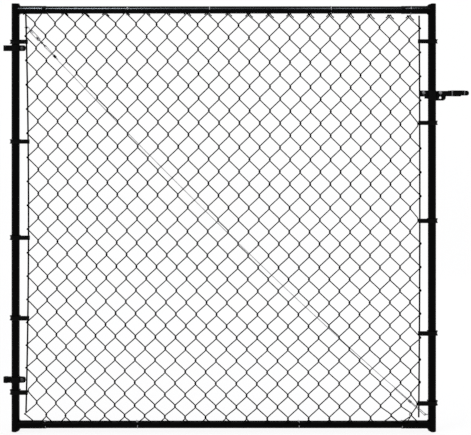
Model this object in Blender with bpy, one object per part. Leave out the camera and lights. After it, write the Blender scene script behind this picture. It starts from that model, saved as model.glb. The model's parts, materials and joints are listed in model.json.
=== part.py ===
"""Chain link walk gate leaf with telescoping rails, strap hinges, a fork latch and a truss cable.

Metres, Z up, X from the hinge side to the latch side, the outside face towards -Y.
The origin is on the underside of the lower hinge eye, where the eye rests on its post pin.
"""

import math

import bmesh
import bpy
from mathutils import Matrix, Vector

# Gap left between pieces that touch, sides of a round tube, and how far a trimming block reaches
# past what it trims.
TOUCH_GAP = 0.0003
TUBE_SIDES = 16
TRIM_MARGIN = 0.01
SHARP_DEGREES = 40

# Frame tubes.
LEAF_HEIGHT = 1.822
STILE_SPACING = 1.778
STILE_RADIUS = 0.01745
STILE_WALL = 0.0016
SLEEVE_RADIUS = STILE_RADIUS
SLEEVE_WALL = 0.00125
SLIDE_GAP = 0.000325
RAIL_RADIUS = SLEEVE_RADIUS - SLEEVE_WALL - SLIDE_GAP
RAIL_WALL = 0.0016
SLEEVE_END = 0.131
TOP_RAIL_DROP = 0.0250
BOTTOM_RAIL_RISE = 0.0272
RAIL_END_INSET = 0.024
CAP_THICKNESS = 0.0025
CAP_PLUG_DEPTH = 0.010

# Hinges: one folded strap each, with an eye for the post pin and two tabs held by a bolt.
HINGE_PLATE = 0.004
HINGE_HEIGHT = 0.0250
HINGE_EYE_REACH = 0.040
HINGE_BORE_RADIUS = 0.0083
HINGE_TAB_END = 0.0430
HINGE_BOLT_REACH = 0.0272
HINGE_BOLT_RADIUS = 0.0045
HINGE_ROUND_SHARE = 0.35
HINGE_SPLIT = 0.0008
LOWER_HINGE_SHARE = 0.1130
UPPER_HINGE_SHARE = 0.8898

# Row frame: where the leaf stands relative to the origin.
EYE_X = HINGE_BORE_RADIUS + HINGE_PLATE / 2
HINGE_EYE_SPAN = HINGE_BORE_RADIUS + 2 * HINGE_PLATE
HINGE_STILE_X = EYE_X + HINGE_EYE_REACH
LATCH_STILE_X = HINGE_STILE_X + STILE_SPACING
LEAF_BOTTOM = -LOWER_HINGE_SHARE * LEAF_HEIGHT
LEAF_TOP = LEAF_BOTTOM + LEAF_HEIGHT
TOP_RAIL_Z = LEAF_TOP - TOP_RAIL_DROP
BOTTOM_RAIL_Z = LEAF_BOTTOM + BOTTOM_RAIL_RISE

# Tension bars, with their distance from the stile at the bottom, middle and top.
BAR_RADIUS = 0.0035
BAR_SIDES = 8
BAR_SPANS = 6
LEFT_BAR_OFFSETS = (0.0441, 0.0571, 0.0442)
RIGHT_BAR_OFFSETS = (0.0589, 0.0538, 0.0571)
LEFT_BAR_FOOT = 0.083
RIGHT_BAR_FOOT = 0.061
BAR_TOP_DROP = 0.0410

# Tension bands: bent plates with a raised middle, and their heights as shares of the leaf's.
BAND_PLATE = 0.002
BAND_HEIGHT = 0.018
BAND_CROWN = 0.0028
BAND_LEG_PAST_BAR = 0.0055
BAND_OVER_HINGE = 0.00572
UPPER_BAND_STEP = HINGE_HEIGHT + BAND_OVER_HINGE + BAND_HEIGHT / 2
UPPER_BAND_SHARE = UPPER_HINGE_SHARE + UPPER_BAND_STEP / LEAF_HEIGHT
LEFT_BAND_SHARES = (0.0913, 0.2650, 0.4532, 0.6782, UPPER_BAND_SHARE)
RIGHT_BAND_SHARES = (0.0658, 0.2294, 0.4927, 0.7219, 0.9126)
BAND_LEG_Y = -(STILE_RADIUS + TOUCH_GAP + BAND_PLATE / 2)
BAR_Y = BAND_LEG_Y + BAND_PLATE / 2 + TOUCH_GAP + BAR_RADIUS
BAND_BACK_LEG_Y = BAR_Y + BAR_RADIUS + TOUCH_GAP + BAND_PLATE / 2

# Woven fabric, with wires of four sides. The columns of crossings between the bars are evenly
# spaced; the rows are stretched a little more towards the top.
WIRE_RADIUS = 0.0022
LEFT_COLUMN_INSET = 0.0853
RIGHT_COLUMN_INSET = 0.0899
COLUMN_WIDTH_WANTED = 0.0433
ROW_HEIGHT_WANTED = 0.0508
ROW_STRETCH = 0.0477
TOP_ROW_UNDER_RAIL = 0.0147
LOWEST_ROW_OVER_RAIL = 0.0363
LEG_END_OVER_RAIL = 0.0160
COLUMN_SPAN = STILE_SPACING - LEFT_COLUMN_INSET - RIGHT_COLUMN_INSET
INNER_COLUMNS = max(round(COLUMN_SPAN / COLUMN_WIDTH_WANTED), 1)
COLUMN_PITCH = COLUMN_SPAN / INNER_COLUMNS
LAST_COLUMN = INNER_COLUMNS + 2
SPLIT_COLUMN = (LAST_COLUMN + 1) // 2
LOWEST_ROW_Z = BOTTOM_RAIL_Z + LOWEST_ROW_OVER_RAIL
ROW_SPAN = TOP_RAIL_Z - TOP_ROW_UNDER_RAIL - LOWEST_ROW_Z
LAST_ROW = max(round(ROW_SPAN / ROW_HEIGHT_WANTED), 1)
ROW_PITCH = ROW_SPAN / LAST_ROW

# Fork latch: a clamp of two halves, and a fork that turns on the clamp's outer bolt.
LATCH_PIVOT_REACH = 0.0354
LATCH_PIVOT_SHARE = 0.7924
LATCH_PIVOT_X = LATCH_STILE_X + LATCH_PIVOT_REACH
LATCH_PIVOT_Z = LEAF_BOTTOM + LATCH_PIVOT_SHARE * LEAF_HEIGHT
CLAMP_PLATE = 0.003
CLAMP_TOP = 0.0094
CLAMP_OUTER_TOP = 0.0076
CLAMP_BOTTOM = -0.0339
CLAMP_TAB_END = 0.0589
CLAMP_CORNER = 0.014
CLAMP_INNER_TAB_END = 0.0534
CLAMP_INNER_TAB_BOTTOM = -0.0168
CLAMP_EAR_REACH = 0.0318
CLAMP_EAR_BOTTOM = -0.0256
LATCH_BOLT_RADIUS = 0.004
LATCH_BOLT_HEAD = 0.0076
LATCH_BOLT_HEAD_DEPTH = 0.0045
LATCH_NUT_RADIUS = 0.0072
LATCH_NUT_DEPTH = 0.006
PADLOCK_HOLE_RADIUS = 0.0050
PADLOCK_HOLE_DROP = 0.0218
FORK_PLATE = 0.004
FORK_CHEEK_GAP = 0.001
FORK_TOP = 0.0092
FORK_NECK_TOP = 0.0075
FORK_BOTTOM = -0.0155
FORK_TIP_BOTTOM = -0.0118
FORK_LENGTH = 0.1165
FORK_CHEEK_SHARE = 0.33
FORK_NECK_SHARE = 0.28
FORK_LEG_SHARE = 0.46
FORK_STEP_SHARE = 0.69
FORK_FLARE_SHARE = 0.85
FORK_FLARE = 0.004
FORK_OPENING = 0.064
FORK_END_RADIUS = 0.0080
FORK_TIP_ROUND_SHARE = 0.46

# Truss cable with its lugs, turnbuckle and clamps, in the plane of the stiles.
CABLE_RADIUS = 0.0016
CABLE_SIDES = 6
CABLE_SPANS = 10
CABLE_SAG = 0.045
CABLE_LOOP_RADIUS = 0.0043
UPPER_TAIL = 0.012
LOWER_TAIL = 0.080
CLAMP_SLEEVE_LENGTH = 0.012
CLAMP_SLEEVE_WALL = 0.0018
UPPER_SLEEVE_PLACE = 0.169
LOWER_SLEEVE_PLACE = 0.0846
LUG_REACH = 0.008
LUG_ROUND = 0.007
LUG_PLATE = 0.003
LUG_HOLE_RADIUS = 0.0034
LUG_RING = 0.003
UPPER_LUG_DROP = 0.1004
LOWER_LUG_RISE = 0.0698
TURNBUCKLE_PLACE = 0.0135
TURNBUCKLE_LENGTH = 0.0595
TURNBUCKLE_WIDTH = 0.014
TURNBUCKLE_DEPTH = 0.008
TURNBUCKLE_RAIL = 0.003
TURNBUCKLE_END = 0.009
ROD_RADIUS = 0.0022
ROD_SHOWS = 0.010
HOOK_CLEARANCE = 0.0029
ROD_EYE_RADIUS = 0.0066
ROD_EYE_PLACE = 0.102


def clear_scene():
    """Removes every object of the startup scene."""
    for found in list(bpy.data.objects):
        bpy.data.objects.remove(found, do_unlink=True)


def make_material(name, colour, roughness, metallic):
    """One Principled material."""
    material = bpy.data.materials.new(name)
    material.use_nodes = True
    shader = material.node_tree.nodes["Principled BSDF"]
    shader.inputs["Base Color"].default_value = (*colour, 1.0)
    shader.inputs["Roughness"].default_value = roughness
    shader.inputs["Metallic"].default_value = metallic
    material.diffuse_color = (*colour, 1.0)
    return material


def shade_round(mesh):
    """Shades the curved sides smooth and leaves the real edges sharp."""
    for face in mesh.polygons:
        face.use_smooth = True
    mesh.set_sharp_from_angle(angle=math.radians(SHARP_DEGREES))


def make_object(name, points, faces, material, smooth=True):
    """A mesh object from points and faces, with its faces turned outwards."""
    mesh = bpy.data.meshes.new(name)
    mesh.from_pydata([tuple(point) for point in points], [], faces)
    work = bmesh.new()
    work.from_mesh(mesh)
    bmesh.ops.recalc_face_normals(work, faces=work.faces)
    work.to_mesh(mesh)
    work.free()
    if smooth:
        shade_round(mesh)
    mesh.materials.append(material)
    made = bpy.data.objects.new(name, mesh)
    bpy.context.scene.collection.objects.link(made)
    return made


def ring_angles(sides):
    """Angles of the corners of a round shape."""
    return [2 * math.pi * step / sides for step in range(sides)]


def bridge(first, second, count):
    """Quads between two closed rings of corners, given by their first index."""
    quads = []
    for step in range(count):
        following = (step + 1) % count
        quads.append((first + step, first + following, second + following, second + step))
    return quads


def upright_tube(name, centre_x, low, high, outer, inner, material):
    """A hollow tube along Z."""
    points = []
    for height, radius in ((low, outer), (high, outer), (high, inner), (low, inner)):
        for angle in ring_angles(TUBE_SIDES):
            points.append((centre_x + radius * math.cos(angle), radius * math.sin(angle), height))
    faces = []
    for ring in range(4):
        faces += bridge(ring * TUBE_SIDES, (ring + 1) % 4 * TUBE_SIDES, TUBE_SIDES)
    return make_object(name, points, faces, material)


def level_tube(name, low, high, height, outer, inner, material, cope=None):
    """A hollow tube along X. cope is the stile whose round side one end is cut to fit."""
    points = []
    for end, radius in ((low, outer), (high, outer), (high, inner), (low, inner)):
        for angle in ring_angles(TUBE_SIDES):
            side = radius * math.cos(angle)
            along = end
            if cope is not None and abs(end - cope) < STILE_RADIUS:
                reach = math.sqrt(max((STILE_RADIUS + TOUCH_GAP) ** 2 - side**2, 0))
                along = cope + math.copysign(reach, (low + high) / 2 - cope)
            points.append((along, side, height + radius * math.sin(angle)))
    faces = []
    for ring in range(4):
        faces += bridge(ring * TUBE_SIDES, (ring + 1) % 4 * TUBE_SIDES, TUBE_SIDES)
    return make_object(name, points, faces, material)


def turned(name, centre, axis, profile, sides, material):
    """A solid of revolution. profile is (radius, distance along axis) from end to end."""
    turn = Vector((0, 0, 1)).rotation_difference(Vector(axis)).to_matrix()
    points = [Vector(centre) + turn @ Vector((0, 0, profile[0][1]))]
    for radius, along in profile:
        for angle in ring_angles(sides):
            offset = Vector((radius * math.cos(angle), radius * math.sin(angle), along))
            points.append(Vector(centre) + turn @ offset)
    points.append(Vector(centre) + turn @ Vector((0, 0, profile[-1][1])))
    faces = []
    for step in range(sides):
        faces.append((0, 1 + (step + 1) % sides, 1 + step))
    for ring in range(len(profile) - 1):
        faces += bridge(1 + ring * sides, 1 + (ring + 1) * sides, sides)
    last = 1 + (len(profile) - 1) * sides
    for step in range(sides):
        faces.append((len(points) - 1, last + step, last + (step + 1) % sides))
    return make_object(name, points, faces, material)


def swept_rod(name, path, width, sides, material, facing=(0, 1, 0), depth=None):
    """A round rod of few sides along points that lie in one plane, which faces along facing.

    width is the radius in the plane and depth the one across it, the same if not given."""
    depth = width if depth is None else depth
    out = Vector(facing).normalized()
    points = []
    for place, centre in enumerate(path):
        before = path[max(place - 1, 0)]
        after = path[min(place + 1, len(path) - 1)]
        along = (Vector(after) - Vector(before)).normalized()
        across = out.cross(along)
        for angle in ring_angles(sides):
            points.append(Vector(centre) + across * math.cos(angle) * width + out * math.sin(angle) * depth)
    faces = [tuple(range(sides)), tuple(range(len(points) - sides, len(points)))]
    for ring in range(len(path) - 1):
        faces += bridge(ring * sides, (ring + 1) * sides, sides)
    return make_object(name, points, faces, material)


def strip_sides(path, thickness):
    """The two edges of a bent strip, from its centre line."""
    left, right = [], []
    for place, centre in enumerate(path):
        here = Vector(centre)
        directions = []
        if place > 0:
            directions.append((here - Vector(path[place - 1])).normalized())
        if place < len(path) - 1:
            directions.append((Vector(path[place + 1]) - here).normalized())
        mean = sum(directions, Vector((0, 0))).normalized()
        normal = Vector((-mean.y, mean.x))
        first = Vector((-directions[0].y, directions[0].x))
        reach = thickness / 2 / normal.dot(first)
        left.append(here + normal * reach)
        right.append(here - normal * reach)
    return left, right


def bent_strip(name, levels, thickness, material):
    """A plate bent in plan. levels is a list of heights, each with its own centre line."""
    points = []
    for height, path in levels:
        for edge in strip_sides(path, thickness):
            points += [(point.x, point.y, height) for point in edge]
    count = len(levels[0][1])
    faces = []
    for level in range(len(levels) - 1):
        low, high = 2 * count * level, 2 * count * (level + 1)
        for step in range(count - 1):
            for edge in (0, count):
                here = step + edge
                faces.append((low + here, low + here + 1, high + here + 1, high + here))
        for end in (0, count - 1):
            faces.append((low + end, low + count + end, high + count + end, high + end))
    for start in (0, 2 * count * (len(levels) - 1)):
        for step in range(start, start + count - 1):
            faces.append((step, step + 1, count + step + 1, count + step))
    return make_object(name, points, faces, material)


def side_outline(name, outline, front, back, material):
    """A plate with an outline in X and Z, between two depths."""
    points = [(x, front, z) for x, z in outline] + [(x, back, z) for x, z in outline]
    count = len(outline)
    faces = [tuple(range(count)), tuple(range(count, 2 * count))]
    faces += bridge(0, count, count)
    return make_object(name, points, faces, material)


def plan_outline(name, outline, low, high, material):
    """A plate with an outline in X and Y, between two heights."""
    points = [(x, y, low) for x, y in outline] + [(x, y, high) for x, y in outline]
    count = len(outline)
    faces = [tuple(range(count)), tuple(range(count, 2 * count))]
    faces += bridge(0, count, count)
    return make_object(name, points, faces, material)


def apply_boolean(body, tool, operation):
    """Cuts, trims or joins body with tool, and removes the tool."""
    modifier = body.modifiers.new("trim", "BOOLEAN")
    modifier.object = tool
    modifier.operation = operation
    modifier.solver = "EXACT"
    bpy.context.view_layer.update()
    graph = bpy.context.evaluated_depsgraph_get()
    cut = bpy.data.meshes.new_from_object(body.evaluated_get(graph))
    body.modifiers.clear()
    body.data = cut
    shade_round(cut)
    bpy.data.objects.remove(tool, do_unlink=True)


def drill(body, x, z, radius, material, sides=12):
    """A hole through body along Y."""
    reach = STILE_RADIUS + TRIM_MARGIN
    cutter = turned("cutter", (x, 0, z), (0, 1, 0), ((radius, -reach), (radius, reach)), sides, material)
    apply_boolean(body, cutter, "DIFFERENCE")


def arc(centre, radius, start, end, steps):
    """Points of an arc in its plane, angles in degrees."""
    found = []
    for step in range(steps + 1):
        angle = math.radians(start + (end - start) * step / steps)
        found.append((centre[0] + radius * math.cos(angle), centre[1] + radius * math.sin(angle)))
    return found


def mirrored(path):
    """The same path on the other side of the X axis, run backwards."""
    return [(x, -y) for x, y in reversed(path)]


def build_frame(black):
    """Stiles, rails, sleeves and caps."""
    inner = STILE_RADIUS - STILE_WALL
    for name, x in (("hinge_stile", HINGE_STILE_X), ("latch_stile", LATCH_STILE_X)):
        upright_tube(name, x, LEAF_BOTTOM, LEAF_TOP, STILE_RADIUS, inner, black)
        build_cap(name + "_top_cap", x, LEAF_TOP, 1, black)
        build_cap(name + "_bottom_cap", x, LEAF_BOTTOM, -1, black)
    for level, height in (("top", TOP_RAIL_Z), ("bottom", BOTTOM_RAIL_Z)):
        low = HINGE_STILE_X + RAIL_END_INSET
        high = LATCH_STILE_X - RAIL_END_INSET
        level_tube(level + "_rail", low, high, height, RAIL_RADIUS, RAIL_RADIUS - RAIL_WALL, black)
        build_sleeves(level, height, black)


def build_sleeves(level, height, black):
    """The two stubs welded to the stiles, which the rail slides in."""
    inner = SLEEVE_RADIUS - SLEEVE_WALL
    near, far = HINGE_STILE_X, HINGE_STILE_X + SLEEVE_END
    level_tube(level + "_sleeve_hinge_side", near, far, height, SLEEVE_RADIUS, inner, black, near)
    near, far = LATCH_STILE_X, LATCH_STILE_X - SLEEVE_END
    level_tube(level + "_sleeve_latch_side", far, near, height, SLEEVE_RADIUS, inner, black, near)


def build_cap(name, x, height, way, black):
    """A cap with a rounded rim and a short plug inside. way is 1 at the top and -1 at the bottom."""
    plug = STILE_RADIUS - STILE_WALL - TOUCH_GAP
    profile = (
        (plug, -CAP_PLUG_DEPTH),
        (plug, TOUCH_GAP),
        (STILE_RADIUS, TOUCH_GAP),
        (STILE_RADIUS, TOUCH_GAP + CAP_THICKNESS / 2),
        (STILE_RADIUS - CAP_THICKNESS / 2, TOUCH_GAP + CAP_THICKNESS),
    )
    turned(name, (x, 0, height), (0, 0, way), profile, TUBE_SIDES, black)


def hinge_path():
    """Centre line of a hinge strap in plan, from one tab round the stile and the eye to the other."""
    side = (HINGE_SPLIT + HINGE_PLATE) / 2
    collar = (STILE_RADIUS + TOUCH_GAP + HINGE_PLATE / 2) / math.cos(math.radians(15))
    eye = (HINGE_BORE_RADIUS + HINGE_PLATE / 2) / math.cos(math.radians(15))
    turn = math.degrees(math.asin(side / collar))
    eye_turn = math.degrees(math.asin(side / eye))
    path = [(HINGE_STILE_X + HINGE_TAB_END, -side)]
    path += arc((HINGE_STILE_X, 0), collar, -turn, -turn, 1)[:1]
    path += arc((HINGE_STILE_X, 0), collar, -30, -150, 4)
    path += arc((HINGE_STILE_X, 0), collar, turn - 180, turn - 180, 1)[:1]
    path += arc((EYE_X, 0), eye, -eye_turn, -eye_turn, 1)[:1]
    path += arc((EYE_X, 0), eye, -45, -165, 4)
    return path + mirrored(path)


def hinge_outline(low, high):
    """Outline of a hinge seen from the front: square at the eye, round at the tab."""
    left = EYE_X - HINGE_EYE_SPAN
    corner = (high - low) * HINGE_ROUND_SHARE
    end = HINGE_STILE_X + HINGE_TAB_END
    outline = [(left, high), (left, low)]
    outline += arc((end - corner, low + corner), corner, -90, 0, 3)
    outline += arc((end - corner, high - corner), corner, 0, 90, 3)
    return outline


def build_hinges(black):
    """The two strap hinges on the hinge stile, each with a bolt hole in its tabs."""
    for name, share in (("lower_hinge", LOWER_HINGE_SHARE), ("upper_hinge", UPPER_HINGE_SHARE)):
        low = LEAF_BOTTOM + share * LEAF_HEIGHT
        high = low + HINGE_HEIGHT
        path = hinge_path()
        body = bent_strip(name, ((low, path), (high, path)), HINGE_PLATE, black)
        outline = hinge_outline(low, high)
        reach = STILE_RADIUS + HINGE_PLATE + TRIM_MARGIN
        apply_boolean(body, side_outline("trim", outline, -reach, reach, black), "INTERSECT")
        hole = HINGE_BOLT_RADIUS + TOUCH_GAP
        drill(body, HINGE_STILE_X + HINGE_BOLT_REACH, (low + high) / 2, hole, black)


def bar_offset(offsets, share):
    """Distance of a bar from its stile. share runs from 0 at the bottom to 1 at the top."""
    low, middle, high = offsets
    bow = middle - (low + high) / 2
    return low + (high - low) * share + bow * 4 * share * (1 - share)


def bar_x(left, height):
    """X of the left or the right tension bar at a height."""
    share = (height - LEAF_BOTTOM) / LEAF_HEIGHT
    if left:
        return HINGE_STILE_X + bar_offset(LEFT_BAR_OFFSETS, share)
    return LATCH_STILE_X - bar_offset(RIGHT_BAR_OFFSETS, share)


def build_bars(black):
    """The two upright rods that the fabric hangs on, slightly bowed."""
    high = LEAF_TOP - BAR_TOP_DROP
    for name, left, foot in (
        ("tension_bar_hinge_side", True, LEFT_BAR_FOOT),
        ("tension_bar_latch_side", False, RIGHT_BAR_FOOT),
    ):
        path = []
        for step in range(BAR_SPANS + 1):
            height = LEAF_BOTTOM + foot + (high - LEAF_BOTTOM - foot) * step / BAR_SPANS
            path.append((bar_x(left, height), BAR_Y, height))
        swept_rod(name, path, BAR_RADIUS, BAR_SIDES, black)


def band_path(stile_x, way, leg_end, crown):
    """Centre line of a tension band in plan. way is 1 where its legs point along +X."""
    flat = STILE_RADIUS + TOUCH_GAP + BAND_PLATE / 2
    half_step = math.radians(15)
    slope = math.radians(30)
    turn_x = (flat + BAND_BACK_LEG_Y * math.sin(slope)) / math.cos(slope)
    path = [(leg_end, BAND_LEG_Y)]
    path += arc((0, 0), flat / math.cos(half_step), -105, -105, 1)[:1]
    path += arc((0, 0), (flat + crown) / math.cos(half_step), -135, -315, 6)
    path += arc((0, 0), flat / math.cos(half_step), -345, -375, 1)
    path += [(turn_x, BAND_BACK_LEG_Y), (leg_end, BAND_BACK_LEG_Y)]
    return [(stile_x + way * x, y) for x, y in path]


def build_bands(black):
    """Five tension bands on each stile, pressed out along their middle."""
    for side, stile_x, way, shares in (
        ("hinge_side", HINGE_STILE_X, 1, LEFT_BAND_SHARES),
        ("latch_side", LATCH_STILE_X, -1, RIGHT_BAND_SHARES),
    ):
        for number, share in enumerate(shares, start=1):
            height = LEAF_BOTTOM + share * LEAF_HEIGHT
            leg_end = abs(bar_x(way > 0, height) - stile_x) + BAND_LEG_PAST_BAR
            levels = []
            for step, crown in ((-0.5, 0), (-0.25, BAND_CROWN), (0.25, BAND_CROWN), (0.5, 0)):
                levels.append((height + step * BAND_HEIGHT, band_path(stile_x, way, leg_end, crown)))
            bent_strip(f"tension_band_{side}_{number}", levels, BAND_PLATE, black)


def row_height(row):
    """Height of a row of crossings, row 0 the lowest. The upper rows are a little taller."""
    share = row / LAST_ROW
    return LOWEST_ROW_Z + ROW_SPAN * (share + ROW_STRETCH * share * (share - 1))


def crossing_size():
    """Half width and half height of a crossing, from the slope of the wires."""
    length = math.hypot(COLUMN_PITCH, ROW_PITCH)
    return WIRE_RADIUS * length / ROW_PITCH, WIRE_RADIUS * length / COLUMN_PITCH


def crossing_place(column, row, first):
    """Place of a crossing. Those of the outer columns stand beside the bars or the other half."""
    height = row_height(row)
    half_width = crossing_size()[0]
    if column == 0:
        return bar_x(True, height) + BAR_RADIUS + TOUCH_GAP + half_width, height
    if column == LAST_COLUMN:
        return bar_x(False, height) - BAR_RADIUS - TOUCH_GAP - half_width, height
    x = HINGE_STILE_X + LEFT_COLUMN_INSET + COLUMN_PITCH * (column - 1)
    if column == SPLIT_COLUMN:
        shift = half_width + TOUCH_GAP / 2
        x += shift if column == first else -shift
    return x, height


# Corners of a crossing: top, right, bottom, left, front, back.
TOP, RIGHT, BOTTOM, LEFT, FRONT, BACK = range(6)

# For each way out of a crossing: the two corners it leaves from, the two that it arrives at
# on the next crossing, and the step in column and row.
WAYS_OUT = (
    ((TOP, RIGHT), (LEFT, BOTTOM), 1, 1),
    ((BOTTOM, RIGHT), (LEFT, TOP), 1, -1),
)


def crossing_points(x, height):
    """The six corners of a crossing."""
    half_width, half_height = crossing_size()
    return [
        (x, BAR_Y, height + half_height),
        (x + half_width, BAR_Y, height),
        (x, BAR_Y, height - half_height),
        (x - half_width, BAR_Y, height),
        (x, BAR_Y - WIRE_RADIUS, height),
        (x, BAR_Y + WIRE_RADIUS, height),
    ]


def wire_faces(start, end, leaving, arriving):
    """The four sides of a wire between two crossings, given by their first index."""
    faces = []
    for ridge in (FRONT, BACK):
        for out, into in zip(leaving, arriving):
            faces.append((start + out, end + into, end + ridge, start + ridge))
    return faces


def socket_faces(start, corners):
    """Closes a crossing where no wire leaves it."""
    first, second = corners
    return [
        (start + first, start + second, start + FRONT),
        (start + first, start + second, start + BACK),
    ]


def bottom_leg(points, start, x, height, way):
    """A short wire end from a crossing of the lowest row, down towards the rail."""
    end_height = BOTTOM_RAIL_Z + LEG_END_OVER_RAIL
    end_x = x + way * (height - end_height) * COLUMN_PITCH / ROW_PITCH
    corners = crossing_points(end_x, end_height)
    first = len(points)
    inner = LEFT if way > 0 else RIGHT
    points += [corners[TOP], corners[inner], corners[FRONT], corners[BACK]]
    outer = RIGHT if way > 0 else LEFT
    faces = []
    for ridge, offset in ((FRONT, 2), (BACK, 3)):
        faces.append((start + outer, first, first + offset, start + ridge))
        faces.append((start + BOTTOM, first + 1, first + offset, start + ridge))
    faces.append((first, first + 2, first + 1, first + 3))
    return faces


def bottom_legs(points, start, column, first, last):
    """The cut wire ends of one crossing of the lowest row, and the pairs of corners they take."""
    x, height = crossing_place(column, 0, first)
    faces, taken = [], []
    for way, side in ((1, RIGHT), (-1, LEFT)):
        if (way > 0 and column == last) or (way < 0 and column == first):
            continue
        faces += bottom_leg(points, start, x, height, way)
        taken.append((start, frozenset((BOTTOM, side))))
    return faces, taken


def build_fabric_half(name, first, last, black):
    """The fabric between two columns, fused where the wires cross."""
    points, faces, index = [], [], {}
    for column in range(first, last + 1):
        for row in range(column % 2, LAST_ROW + 1, 2):
            index[column, row] = len(points)
            points += crossing_points(*crossing_place(column, row, first))
    used = set()
    for (column, row), start in index.items():
        for leaving, arriving, right, up in WAYS_OUT:
            end = index.get((column + right, row + up))
            if end is None:
                continue
            faces += wire_faces(start, end, leaving, arriving)
            used.add((start, frozenset(leaving)))
            used.add((end, frozenset(arriving)))
    for (column, row), start in index.items():
        if row == 0:
            leg_faces, taken = bottom_legs(points, start, column, first, last)
            faces += leg_faces
            used.update(taken)
        for corners in ((TOP, RIGHT), (TOP, LEFT), (BOTTOM, RIGHT), (BOTTOM, LEFT)):
            if (start, frozenset(corners)) not in used:
                faces += socket_faces(start, corners)
    make_object(name, points, faces, black, smooth=False)


def build_fabric(black):
    """Two halves that hook side by side at the middle column."""
    build_fabric_half("fabric_hinge_half", 0, SPLIT_COLUMN, black)
    build_fabric_half("fabric_latch_half", SPLIT_COLUMN, LAST_COLUMN, black)


def clamp_path(side):
    """Centre line of one clamp half in plan. side is -1 in front."""
    plate_y = side * (TOUCH_GAP / 2 + CLAMP_PLATE / 2)
    collar = (STILE_RADIUS + TOUCH_GAP + CLAMP_PLATE / 2) / math.cos(math.radians(15))
    reach = math.sqrt(collar**2 - plate_y**2)
    path = [(-CLAMP_INNER_TAB_END, plate_y), (-reach, plate_y)]
    path += arc((0, 0), collar, side * 150, side * 30, 4)
    path += [(reach, plate_y), (CLAMP_TAB_END, plate_y)]
    return [(LATCH_STILE_X + x, y) for x, y in path]


def clamp_outline(pivot_z):
    """Outline of the clamp seen from the front: narrow inner tab with an ear, deep outer tab."""
    reach = CLAMP_TAB_END - LATCH_PIVOT_REACH
    top_turn = math.degrees(math.asin(min(CLAMP_OUTER_TOP / reach, 1)))
    collar = STILE_RADIUS + CLAMP_PLATE + TOUCH_GAP
    outline = [
        (-CLAMP_INNER_TAB_END, CLAMP_TOP),
        (-CLAMP_INNER_TAB_END, CLAMP_INNER_TAB_BOTTOM),
        (-CLAMP_EAR_REACH, CLAMP_INNER_TAB_BOTTOM),
        (-CLAMP_EAR_REACH, CLAMP_EAR_BOTTOM),
        (-collar, CLAMP_EAR_BOTTOM),
        (0, CLAMP_BOTTOM),
    ]
    outline += arc((CLAMP_TAB_END - CLAMP_CORNER, CLAMP_BOTTOM + CLAMP_CORNER), CLAMP_CORNER, -90, 0, 4)
    outline += arc((LATCH_PIVOT_REACH, 0), reach, 0, top_turn, 2)
    outline += [(collar, CLAMP_OUTER_TOP), (-collar, CLAMP_TOP)]
    return [(LATCH_STILE_X + x, pivot_z + z) for x, z in outline]


def build_clamp(black):
    """The two halves of the latch clamp, with bolt holes and a padlock hole."""
    low, high = LATCH_PIVOT_Z + CLAMP_BOTTOM, LATCH_PIVOT_Z + CLAMP_TOP
    depth = STILE_RADIUS + CLAMP_PLATE + TRIM_MARGIN
    hole = LATCH_BOLT_RADIUS + TOUCH_GAP
    for name, side in (("latch_clamp_front", -1), ("latch_clamp_back", 1)):
        path = clamp_path(side)
        body = bent_strip(name, ((low, path), (high, path)), CLAMP_PLATE, black)
        trim = side_outline("trim", clamp_outline(LATCH_PIVOT_Z), -depth, depth, black)
        apply_boolean(body, trim, "INTERSECT")
        drill(body, LATCH_PIVOT_X, LATCH_PIVOT_Z, hole, black)
        drill(body, LATCH_STILE_X - LATCH_PIVOT_REACH, LATCH_PIVOT_Z, hole, black)
        drill(body, LATCH_PIVOT_X, LATCH_PIVOT_Z - PADLOCK_HOLE_DROP, PADLOCK_HOLE_RADIUS, black)


def fork_plan():
    """Outline of the fork in plan, relative to its pivot: two cheeks, a web and two spread legs."""
    inner = TOUCH_GAP / 2 + CLAMP_PLATE + FORK_CHEEK_GAP
    outer = inner + FORK_PLATE
    web = CLAMP_TAB_END - LATCH_PIVOT_REACH + TOUCH_GAP
    leg_in = FORK_OPENING / 2
    leg_out = leg_in + FORK_PLATE
    spread_start = FORK_LENGTH * FORK_CHEEK_SHARE
    leg_start = FORK_LENGTH * FORK_LEG_SHARE
    flare_start = FORK_LENGTH * FORK_FLARE_SHARE
    upper = [
        (web, inner),
        (-FORK_END_RADIUS, inner),
        (-FORK_END_RADIUS, outer),
        (spread_start, outer),
        (leg_start, leg_out),
        (flare_start, leg_out),
        (FORK_LENGTH, leg_out + FORK_FLARE),
        (FORK_LENGTH, leg_in + FORK_FLARE),
        (flare_start, leg_in),
        (leg_start + FORK_PLATE / 2, leg_in),
        (spread_start + FORK_PLATE, inner),
    ]
    return upper + mirrored(upper)


def fork_side():
    """Outline of the fork seen from the front, relative to its pivot."""
    neck_turn = math.degrees(math.asin(FORK_NECK_TOP / FORK_END_RADIUS))
    neck_end = FORK_LENGTH * FORK_NECK_SHARE
    step_start = FORK_LENGTH * FORK_STEP_SHARE
    step_rise = FORK_TIP_BOTTOM - FORK_BOTTOM
    corner = (FORK_TOP - FORK_TIP_BOTTOM) * FORK_TIP_ROUND_SHARE
    outline = arc((0, 0), FORK_END_RADIUS, neck_turn, 250, 8)
    outline += [
        (FORK_END_RADIUS, FORK_BOTTOM),
        (step_start, FORK_BOTTOM),
        (step_start + step_rise, FORK_TIP_BOTTOM),
    ]
    outline += arc((FORK_LENGTH - corner, FORK_TIP_BOTTOM + corner), corner, -90, 0, 3)
    outline += arc((FORK_LENGTH - corner, FORK_TOP - corner), corner, 0, 90, 3)
    outline += [(neck_end + FORK_TOP - FORK_NECK_TOP, FORK_TOP), (neck_end, FORK_NECK_TOP)]
    return outline


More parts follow.
